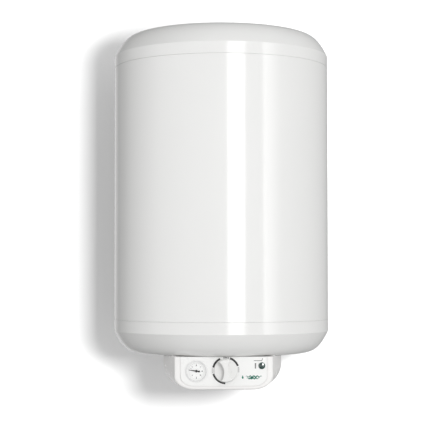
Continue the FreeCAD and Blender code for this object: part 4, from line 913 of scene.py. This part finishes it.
@dataclass
class Caps(Assembly):
    """The two moulded caps."""

    wall: float = 2.0 * MM
    skirt: float = 24.5 * MM
    shoulder_reach: float = 46.0 * MM
    shoulder_rise: float = 44.5 * MM
    crease_angle: float = math.radians(26)
    crease_pull: float = 28.0 * MM
    crown_pull: float = 22.5 * MM
    crown_rise: float = 10.0 * MM
    crease_radius: float = 0.9 * MM
    rim_radius: float = 0.25 * MM
    groove: float = 0.8 * MM            # open groove over the jacket's edge
    rim_point: float = 3.0 * MM         # where the skirt's outline begins, over the groove
    spigot_step: float = 1.1 * MM       # from the skirt in to the part inside the jacket
    spigot_root: float = 4.8 * MM       # height at which that part joins the cap
    segments: int = 400
    shoulder_steps: int = 28
    crown_steps: int = 24

    def build(self) -> None:
        """Turns the upper cap and keeps the lower one, which has holes."""
        self.top_cap()
        self.keep("bottom_cap")

    def outline(self, radius: float, grow: float) -> list[Point2]:
        """The cap's line from its crease to the middle of its crown.

        Args:
            radius: The skirt's radius.
            grow: How far the line lies outside the cap's face; under 0, inside.

        Returns:
            Points as (radius, height above the seam).
        """
        skirt_r, crease_h = radius + grow, self.skirt + grow
        crown_r, crown_h = skirt_r - self.shoulder_reach, crease_h + self.shoulder_rise
        dome_r = (crown_r ** 2 + self.crown_rise ** 2) / (2 * self.crown_rise)
        slope = math.asin(crown_r / dome_r)
        shoulder = curve(
            (skirt_r, crease_h),
            (skirt_r - self.crease_pull * math.sin(self.crease_angle),
             crease_h + self.crease_pull * math.cos(self.crease_angle)),
            (crown_r + self.crown_pull * math.cos(slope), crown_h - self.crown_pull * math.sin(slope)),
            (crown_r, crown_h), self.shoulder_steps)
        dome = arc((0, crown_h + self.crown_rise - dome_r), dome_r,
                   math.pi / 2 - slope, math.pi / 2, self.crown_steps)
        return shoulder + dome[1:-1] + [(0.0, crown_h + self.crown_rise)]

    def top_cap(self) -> None:
        """The upper cap: skirt, crease, shoulder and crown, with its rim in the jacket."""
        centre = middle_of("top_cap")
        radius = width_of("top_cap") / 2
        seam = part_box("outer_jacket")[1].z
        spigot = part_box("top_cap")[0].z - seam
        spigot_r = radius - self.spigot_step
        outer = softened([(radius, self.groove + self.rim_point)] + self.outline(radius, 0),
                         self.crease_radius, closed=False)
        inner = self.outline(radius, -self.wall)
        lip = softened([(spigot_r, spigot), (spigot_r, self.groove), (radius, self.groove), outer[0]],
                       self.rim_radius, closed=False)
        profile = lip[:-1] + outer + inner[::-1]
        profile += [(radius - self.wall, self.spigot_root), (spigot_r - self.wall, self.spigot_root),
                    (spigot_r - self.wall, spigot)]
        shape = Shape()
        shape.lathe(profile, Vector((centre.x, centre.y, seam)), Facing.UP, self.segments)
        self.piece("upper_cap", shape, "cap_plastic", stands_for=["top_cap"])


@dataclass
class Tank(Assembly):
    """The tank, its foam and everything on its flange."""

    def build(self) -> None:
        """Keeps and dresses the inner works."""
        self.keep("foam_shell", "tank_shell", "flange_ring", "flange_gasket", "flange_plate",
                  "flange_studs", "flange_washers", "flange_nuts", "heating_elements",
                  "element_ceramics", "element_terminals", "anode_rod", "anode_nut", "thermowell",
                  "thermostat_bulb", "thermometer_bulb", "cold_diffuser")


@dataclass
class WaterPipes(Assembly):
    """The two pipes with their cut threads and coloured collars."""

    bore: float = 7.5 * MM
    shank: float = 10.65 * MM
    thread: Thread = Thread(10.4775 * MM, 1.814 * MM, 1.16 * MM, 2.4)
    thread_length: float = 16.0 * MM
    run_out: float = 1.5                # turns over which the groove fades away
    chamfer: float = 1.2 * MM
    bore_chamfer: float = 0.4 * MM
    step: float = 0.1 * MM              # from the thread out to the shank
    rows: int = 10                      # of points in one turn of the thread
    segments: int = 72

    def build(self) -> None:
        """Turns both pipes and keeps their collars."""
        self.pipe("hot_outlet_pipe", "hot_pipe")
        self.pipe("cold_inlet_pipe", "cold_pipe")
        self.keep("hot_collar", "cold_collar")

    def pipe(self, node: str, name: str) -> None:
        """One pipe, with its thread cut as a real helix.

        Args:
            node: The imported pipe.
            name: The new piece's name.
        """
        low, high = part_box(node)
        centre = middle_of(node)
        length = high.z - low.z

        def cut(radius: float, height: float, angle: float) -> float:
            """The radius with the thread's groove taken out of it, outside only."""
            if radius < self.bore + MM or height > self.thread_length:
                return radius
            fade = min(1.0, (self.thread_length - height) / (self.run_out * self.thread.pitch))
            return min(radius, self.thread.radius(height, angle, fade))

        crest = self.thread.crest
        steps = int(self.thread_length / self.thread.pitch * self.rows)
        profile = [(self.bore + self.bore_chamfer, 0.0), (crest - self.chamfer, 0.0)]
        for k in range(1, steps + 1):
            height = self.thread_length * k / steps
            profile.append((min(crest, crest - self.chamfer + height), height))
        profile += [(self.shank, self.thread_length + self.step), (self.shank, length),
                    (self.bore, length), (self.bore, self.bore_chamfer)]
        shape = Shape()
        shape.lathe(profile, Vector((centre.x, centre.y, low.z)), Facing.UP, self.segments, cut)
        self.piece(name, shape, "zinc_steel", stands_for=[node])


@dataclass
class WallMount(Assembly):
    """Brackets, buffers and the studs that carry them."""

    thread: Thread = Thread(5.0 * MM, 1.5 * MM, 0.92 * MM, 2.2)
    chamfer: float = 0.8 * MM
    rows: int = 8                       # of points in one turn of the thread
    segments: int = 40

    def build(self) -> None:
        """Cuts the studs' threads and keeps the rest."""
        self.studs()
        self.keep("upper_wall_bracket", "lower_wall_bracket", "wall_bumpers", "bracket_spacers",
                  "bracket_washers", "bracket_nuts")

    def studs(self) -> None:
        """Four threaded studs in one piece, at the heights of the nuts."""
        low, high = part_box("bracket_studs")
        length = high.y - low.y

        def cut(radius: float, height: float, angle: float) -> float:
            """The radius with the groove taken out of it."""
            return min(radius, self.thread.radius(height, angle))

        crest = self.thread.crest
        steps = int(length / self.thread.pitch * self.rows)
        profile = [(0.0, 0.0)]
        for k in range(steps + 1):
            height = length * k / steps
            end = min(height, length - height)
            profile.append((min(crest, crest - self.chamfer + end), height))
        profile.append((0.0, length))
        gap = high.z - crest - middle_of("upper_wall_bracket").z
        shape = Shape()
        for bracket in ("upper_wall_bracket", "lower_wall_bracket"):
            for side in (-1, 1):
                height = middle_of(bracket).z + side * gap
                shape.lathe(profile, Vector((0, low.y, height)), Facing.BACK, self.segments, cut)
        self.piece("stud_threads", shape, "zinc_steel", stands_for=["bracket_studs"])


@dataclass
class ControlHousing(Assembly):
    """The housing under the drum, its front panel and what is printed on it."""

    ink: float = 0.05 * MM
    ring_in: float = 23.4 * MM
    ring_out: float = 27.3 * MM
    ring_inset: float = 0.5 * MM        # how much narrower the lower arc and the steps are
    dot_in: float = 0.4 * MM            # how far the dots keep in from the ring's two edges
    dot_out: float = 1.0 * MM
    thin_line: float = 0.9 * MM
    thick_arcs: tuple[Point2, ...] = ((167, 116), (70, 20))     # degrees, as band() takes them
    lower_arc: Point2 = (268, 196)
    thin_arc: Point2 = (192, 171)
    dots: tuple[float, ...] = (100, 93.5, 87, 80.5)
    dot_sweep: float = 4
    scale_steps: tuple[float, ...] = (14, 9, 4, -1, -6)
    step_sweep: float = 2.2
    sign_aside: float = 12.6 * MM       # from the lamp's middle to the upright sign
    sign_pitch: float = 2.2 * MM
    sign_half_width: float = 1.4 * MM
    sign_line: float = 1.6 * MM
    pointer_rise: float = 10.0 * MM     # from the lamp's middle to the level line
    pointer_reach: float = 16 * MM
    pointer_line: float = 1.0 * MM
    mark_aside: float = 38 * MM         # from the lamp's middle to the drop
    mark_share: float = 0.43            # of the way from the panel's foot to the lamp
    drop_width: float = 2.6 * MM
    drop_height: float = 3.6 * MM
    drop_rise: float = 0.6 * MM
    drop_steps: int = 28
    wave_rise: float = 1.1 * MM
    wave_pitch: float = 3.6 * MM        # from one row down to the next
    wave_ends: tuple[Point2, ...] = ((6 * MM, 38 * MM), (8 * MM, 33 * MM))     # from the drop
    half_waves: int = 9
    wave_steps: int = 60
    stroke_ends: float = 0.6 * MM       # width of a wave's stroke at its ends
    stroke_swell: float = 1.9 * MM      # how much wider it is in the middle

    def build(self) -> None:
        """Keeps the mouldings and prints the panel."""
        self.keep("control_cover", "fascia_panel", "cover_screws")
        self.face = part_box("fascia_panel")[0].y
        self.knob_scale()
        self.lamp_marks()
        self.maker_mark()

    def printed(self, name: str, outlines: Sequence[Sequence[Point2]], finish: str) -> None:
        """Prints a set of outlines on the panel's face."""
        shape = Shape()
        for outline in outlines:
            shape.slab(outline, self.face - self.ink, self.face)
        self.piece(name, shape, "fascia_plastic", finish=finish)

    def knob_scale(self) -> None:
        """The broken ring round the knob, with small marks at the top and the right."""
        knob = middle_of("control_knob")
        hub = (knob.x, knob.z)
        inset = self.ring_in + self.ring_inset
        strokes = [band(hub, self.ring_in, self.ring_out, *ends) for ends in self.thick_arcs]
        strokes.append(band(hub, inset, self.ring_out, *self.lower_arc))
        for angle in self.dots:
            strokes.append(band(hub, self.ring_in + self.dot_in, self.ring_out - self.dot_out,
                                angle, angle - self.dot_sweep))
        self.printed("knob_scale_marks", strokes, "black_ink")
        thin = [band(hub, self.ring_out - self.thin_line, self.ring_out, *self.thin_arc)]
        for angle in self.scale_steps:
            thin.append(band(hub, inset, self.ring_out, angle, angle - self.step_sweep))
        self.printed("knob_scale_steps", thin, "grey_ink")

    def lamp_marks(self) -> None:
        """The small upright sign beside the lamp, and the pointer line over it."""
        lamp = middle_of("indicator_lens")
        x, half = lamp.x - self.sign_aside, self.sign_half_width
        strokes = []
        for row in (-2, -1, 0, 1, 2):
            z = lamp.z + row * self.sign_pitch
            strokes.append(bar((x - half, z), (x + half, z), self.sign_line))
        line_z = lamp.z + self.pointer_rise
        strokes.append(bar((lamp.x - self.pointer_reach, line_z), (lamp.x + 0.5 * MM, line_z),
                           self.pointer_line))
        strokes.append(bar((lamp.x, line_z), (lamp.x + 1.5 * MM, line_z + 4.5 * MM), self.thin_line))
        self.printed("lamp_marks", strokes, "black_ink")

    def maker_mark(self) -> None:
        """A plain mark of no maker: a drop, and water running off in waves."""
        left, z = middle_of("indicator_lens").x - self.mark_aside, self.mark_height()
        drop = []
        for k in range(self.drop_steps):
            t = FULL_TURN * k / self.drop_steps
            drop.append((left + self.drop_width * math.sin(t) * math.sin(t / 2) ** 1.5,
                         z + self.drop_rise + self.drop_height * math.cos(t)))
        waves = []
        for row, (start, end) in enumerate(self.wave_ends):
            middle = z + 1.5 * MM - row * self.wave_pitch
            line = []
            for k in range(self.wave_steps + 1):
                share = k / self.wave_steps
                line.append((left + start + (end - start) * share,
                             middle + self.wave_rise * math.sin(share * self.half_waves * math.pi)))
            waves.append(ribbon(line, self.stroke_width))
        self.printed("maker_mark", [drop, *waves], "green_ink")

    def stroke_width(self, share: float) -> float:
        """Width of a wave's stroke at a share of its length."""
        return self.stroke_ends + self.stroke_swell * math.sin(math.pi * share)

    def mark_height(self) -> float:
        """Height of the mark: between the lamp and the panel's foot."""
        lamp, foot = middle_of("indicator_lens").z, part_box("fascia_panel")[0].z
        return foot + (lamp - foot) * self.mark_share


@dataclass(frozen=True)
class Tick:
    """A kind of mark on the dial: its two ends, from the hub, and its width."""

    inner: float
    outer: float
    width: float

    def at(self, hub: Point2, angle: float) -> list[Point2]:
        """The outline of one such mark, which points at the hub from an angle in degrees."""
        turn = math.radians(angle)
        ends = [(hub[0] + r * math.cos(turn), hub[1] + r * math.sin(turn))
                for r in (self.inner, self.outer)]
        return bar(*ends, self.width)


@dataclass
class Thermometer(Assembly):
    """The round thermometer: case, dial with its scale, needle, glass and bezel."""

    ink: float = 0.04 * MM
    main: Tick = Tick(10.0 * MM, 12.8 * MM, 1.5 * MM)
    foot: Tick = Tick(11.0 * MM, 15.5 * MM, 0.9 * MM)
    lesser: Tick = Tick(10.6 * MM, 12.8 * MM, 1.3 * MM)
    fine: Tick = Tick(14.2 * MM, 15.4 * MM, 0.4 * MM)
    scale_start: float = 225            # degrees, from which the scale runs clockwise
    scale_step: float = 15
    scale_arc: tuple[float, float] = (15.7 * MM, 15.9 * MM)

    def build(self) -> None:
        """Keeps the pieces and prints the dial."""
        self.keep("thermometer_case", "thermometer_dial", "thermometer_needle",
                  "thermometer_glass", "thermometer_bezel", "thermometer_capillary")
        self.dial_marks()

    def dial_marks(self) -> None:
        """Main marks in black, lesser ones in grey and a fine scale line."""
        dial = middle_of("thermometer_dial")
        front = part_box("thermometer_dial")[0].y
        hub = (dial.x, dial.z)

        start = self.scale_start
        main = [self.main.at(hub, angle) for angle in (90, 0, -45)] + [self.foot.at(hub, -90)]
        lesser = [self.lesser.at(hub, angle) for angle in (135, 45, 225, 157)]
        fine = [self.fine.at(hub, start - self.scale_step * k) for k in range(19)]
        fine += [band(hub, *self.scale_arc, start - 45 * k, start - 45 * (k + 1)) for k in range(6)]
        for name, marks, finish in (("dial_main_marks", main, "black_ink"),
                                    ("dial_lesser_marks", lesser, "grey_ink"),
                                    ("dial_fine_scale", fine, "pale_ink")):
            shape = Shape()
            for outline in marks:
                shape.slab(outline, front - self.ink, front)
            self.piece(name, shape, "dial_white", finish=finish)


@dataclass
class TemperatureControl(Assembly):
    """The knob and the capillary thermostat that it turns."""

    def build(self) -> None:
        """Keeps the pieces in their finishes."""
        self.keep("control_knob", "thermostat_spindle", "thermostat_body", "thermostat_screws",
                  "thermostat_capillary")


@dataclass
class HeatingLamp(Assembly):
    """The green lamp lens with its clip and neon lamp."""

    def build(self) -> None:
        """Keeps the pieces in their finishes."""
        self.keep("indicator_lens", "indicator_clip", "indicator_lamp")


@dataclass
class Wiring(Assembly):
    """The safety cut-out, the terminals, the wires and the way in for the lead."""

    def build(self) -> None:
        """Keeps the pieces in their finishes."""
        self.keep("safety_cutout", "cutout_reset_button", "terminal_block", "terminal_screws",
                  "earth_screw", "power_wires", "earth_wire", "cable_gland", "gland_nut")


# ---------------------------------------------------------------------------
# Studio
# ---------------------------------------------------------------------------

class Lit(Enum):
    """What a light falls on."""

    HEATER = "heater_pieces"
    SET = "set_pieces"
    KNOB = "knob_piece"
    LENS = "lens_piece"


@dataclass
class Softbox:
    """A large flat light that looks at the heater's axis."""

    name: str
    azimuth: float          # degrees from straight in front, towards +X
    distance: float
    middle_z: float
    width: float
    height: float
    radiance: float
    lit: Lit = Lit.HEATER
    gleam_only: bool = False    # whether it shows as a gleam and gives no other light

    def build(self, axis: Vector) -> bpy.types.Object:
        """Hangs the light round the axis.

        Args:
            axis: A point on the heater's axis.

        Returns:
            The light.
        """
        light = bpy.data.lights.new(self.name, "AREA")
        light.shape = "RECTANGLE"
        light.size, light.size_y = self.width, self.height
        light.energy = self.radiance * math.pi * self.width * self.height
        lamp = bpy.data.objects.new(self.name, light)
        bpy.context.scene.collection.objects.link(lamp)
        turn = math.radians(self.azimuth)
        outwards = Vector((math.sin(turn), -math.cos(turn), 0))
        lamp.location = Vector((axis.x, axis.y, self.middle_z)) + outwards * self.distance
        lamp.rotation_euler = (lamp.location - axis).to_track_quat("Z", "Y").to_euler()
        lamp.visible_camera = False
        lamp.visible_diffuse = not self.gleam_only
        return lamp


@dataclass
class LightTent:
    """The pale tent all round: lighter towards the front, with a brighter panel on each side."""

    shade: float = 0.30
    front: float = 0.485
    front_azimuth: float = -13.0
    side: float = 0.31          # how much more comes from the right than from the middle
    panel: float = 2.7          # the right-hand panel, sharp at its near edge
    panel_from: float = 43.5
    panel_to: float = 64.0
    wing: float = 1.2           # the left-hand panel, soft on both sides
    wing_azimuth: float = -70.0
    wing_reach: float = 55.0
    rim: float = 0.5            # from behind, seen in the drum's edges
    rim_start: float = 0.9      # how squarely behind it begins, where 1 is straight behind
    rim_lean: float = 0.15      # how far it leans to the left
    panel_slope: float = 0.5    # how steeply up and down the panels reach
    floor_loss: float = 0.12    # how much less comes from below, and more from above

    def build(self) -> None:
        """Wires the surroundings as a function of direction."""
        world = bpy.data.worlds.new("light_tent")
        bpy.context.scene.world = world
        world.use_nodes = True
        tree = Tree(world.node_tree)
        towards = tree.node("ShaderNodeTexCoord", output="Generated")
        turn = math.radians(self.front_azimuth)
        ahead = tree.node("ShaderNodeVectorMath", {"operation": "DOT_PRODUCT"}, {
            0: towards, 1: (math.sin(turn), -math.cos(turn), 0)}, "Value")
        parts = [tree.node("ShaderNodeSeparateXYZ", None, {0: towards}, axis) for axis in "XYZ"]
        azimuth = tree.node("ShaderNodeMath", {"operation": "ARCTAN2"}, {0: parts[0], 1: 0 - parts[1]})
        start, end = math.radians(self.panel_from), math.radians(self.panel_to)
        fading = tree.spread(azimuth, 1, 0, start, end) * (azimuth > start)
        aside = tree.node("ShaderNodeMath", {"operation": "ABSOLUTE"}, {
            0: azimuth - math.radians(self.wing_azimuth)})
        wing = tree.spread(aside, self.wing, 0, 0, math.radians(self.wing_reach))
        level = tree.node("ShaderNodeMath", {"operation": "ABSOLUTE"}, {0: parts[2]}) < self.panel_slope
        glow = tree.spread(ahead, 0, self.front) + parts[0] * self.side + self.shade
        glow = glow + tree.spread(parts[1] - parts[0] * self.rim_lean, 0, self.rim, self.rim_start)
        glow = glow * (1 + parts[2] * self.floor_loss)
        background = world.node_tree.nodes["Background"]
        tree.feed(background.inputs["Color"], (1.0, 1.0, 1.0))
        tree.feed(background.inputs["Strength"], glow + (fading * self.panel + wing) * level)


@dataclass
class Studio:
    """Wall, floor, lights, surroundings and camera."""

    floor_z: float = -1.2
    wall_width: float = 7.0
    wall_top: float = 2.4
    wall_gap: float = 1.0 * MM
    lens: float = 112.5                 # focal length in millimetres
    camera_distance: float = 2.872      # from the heater's axis
    camera_z: float = -0.3094
    camera_azimuth: float = -1.5        # degrees, like the next three; under 0 stands to the left
    camera_aside: float = -0.178        # how far it looks past the axis; under 0 to the left
    camera_pitch: float = 2.320         # how far it looks up
    camera_roll: float = -0.05
    softboxes: tuple[Softbox, ...] = (
        Softbox("key_softbox", azimuth=13.4, distance=2.0, middle_z=0.0,
                width=0.62, height=1.2, radiance=4.0),
        Softbox("wall_light", azimuth=11.5, distance=2.5, middle_z=-0.16,
                width=0.48, height=0.34, radiance=145.0, lit=Lit.SET),
        Softbox("knob_light", azimuth=24, distance=1.2, middle_z=-0.1,
                width=0.3, height=0.3, radiance=13.0, lit=Lit.KNOB),
        Softbox("lens_gleam", azimuth=35, distance=1.0, middle_z=0.1,
                width=0.6, height=0.6, radiance=28.0, lit=Lit.LENS, gleam_only=True),
    )

    def build(self) -> None:
        """Builds everything that stands round the heater."""
        self.axis = middle_of("outer_jacket")
        self.receivers = {lit: bpy.data.collections.new(lit.value) for lit in Lit}
        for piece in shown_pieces():
            self.receivers[Lit.HEATER].objects.link(piece)
        self.receivers[Lit.KNOB].objects.link(frame["nodes"]["control_knob"])
        self.receivers[Lit.LENS].objects.link(frame["nodes"]["indicator_lens"])
        self.backdrop()
        for softbox in self.softboxes:
            lamp = softbox.build(self.axis)
            lamp.light_linking.receiver_collection = self.receivers[softbox.lit]
        LightTent().build()
        bpy.context.scene.view_settings.view_transform = "Standard"
        self.camera()

    def paper(self, name: str, colour: Colour) -> bpy.types.Material:
        """A plain matt material that is clear from behind.

        Args:
            name: The material's name.
            colour: Its colour.

        Returns:
            The material.
        """
        shader = Shader(name)
        fibre = shader.noise(6 * MM, 3)
        shader.dress(Base_Color=shader.blend(fibre, tint(colour, 0.995), colour), Roughness=0.9,
                     Specular_IOR_Level=0.1)
        behind = shader.node("ShaderNodeNewGeometry", output="Backfacing")
        clear = shader.node("ShaderNodeBsdfTransparent")
        mixed = shader.node("ShaderNodeMixShader", None, {
            0: behind, 1: Wire(shader, shader.surface.outputs[0]), 2: clear})
        shader.feed(shader.output.inputs["Surface"], mixed)
        return shader.material

    def sheet(self, name: str, corners: Sequence[Vector], material: bpy.types.Material) -> None:
        """One flat sheet of the set, which throws no light or shade on the heater."""
        mesh = bpy.data.meshes.new(name)
        mesh.from_pydata(corners, [], [tuple(range(len(corners)))])
        mesh.materials.append(material)
        made = bpy.data.objects.new(name, mesh)
        bpy.context.scene.collection.objects.link(made)
        self.receivers[Lit.SET].objects.link(made)
        made.visible_diffuse = made.visible_glossy = made.visible_shadow = False
        made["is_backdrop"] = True

    def backdrop(self) -> None:
        """The pale wall that the heater hangs on and the pale floor."""
        half = self.wall_width / 2
        wall = [Vector((x, self.wall_gap, z)) for x, z in (
            (-half, self.floor_z), (half, self.floor_z), (half, self.wall_top),
            (-half, self.wall_top))]
        floor = [Vector((x, y, self.floor_z)) for x, y in (
            (-half, -half), (half, -half), (half, half), (-half, half))]
        self.sheet("studio_wall", wall, self.paper("wall_paper", (0.80, 0.80, 0.80)))
        self.sheet("studio_floor", floor, self.paper("floor_paper", (0.80, 0.80, 0.79)))

    def camera(self) -> None:
        """The camera, almost straight in front and a little below the middle."""
        data = bpy.data.cameras.new("view")
        data.lens = self.lens
        data.clip_start, data.clip_end = 0.05, 30
        eye = bpy.data.objects.new("view", data)
        bpy.context.scene.collection.objects.link(eye)
        turn = math.radians(self.camera_azimuth)
        eye.location = (self.axis.x + self.camera_distance * math.sin(turn),
                        self.axis.y - self.camera_distance * math.cos(turn), self.camera_z)
        heading = math.radians(self.camera_azimuth - self.camera_aside)
        eye.rotation_euler = (Matrix.Rotation(heading, 3, "Z")
                              @ Matrix.Rotation(math.radians(90 + self.camera_pitch), 3, "X")
                              @ Matrix.Rotation(math.radians(self.camera_roll), 3, "Z")).to_euler()
        bpy.context.scene.camera = eye


def write_sizes() -> None:
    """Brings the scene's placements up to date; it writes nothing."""
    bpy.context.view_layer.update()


def main() -> None:
    """Builds the heater, group by group, and the studio round it."""
    logging.basicConfig(level=logging.INFO, format="%(message)s")
    wardrobe = Wardrobe()
    for kind in (Drum, Caps, Tank, WaterPipes, WallMount, ControlHousing, Thermometer,
                 TemperatureControl, HeatingLamp, Wiring):
        kind(wardrobe).build()
    Studio().build()
    write_sizes()


if __name__ == "__main__":
    main()
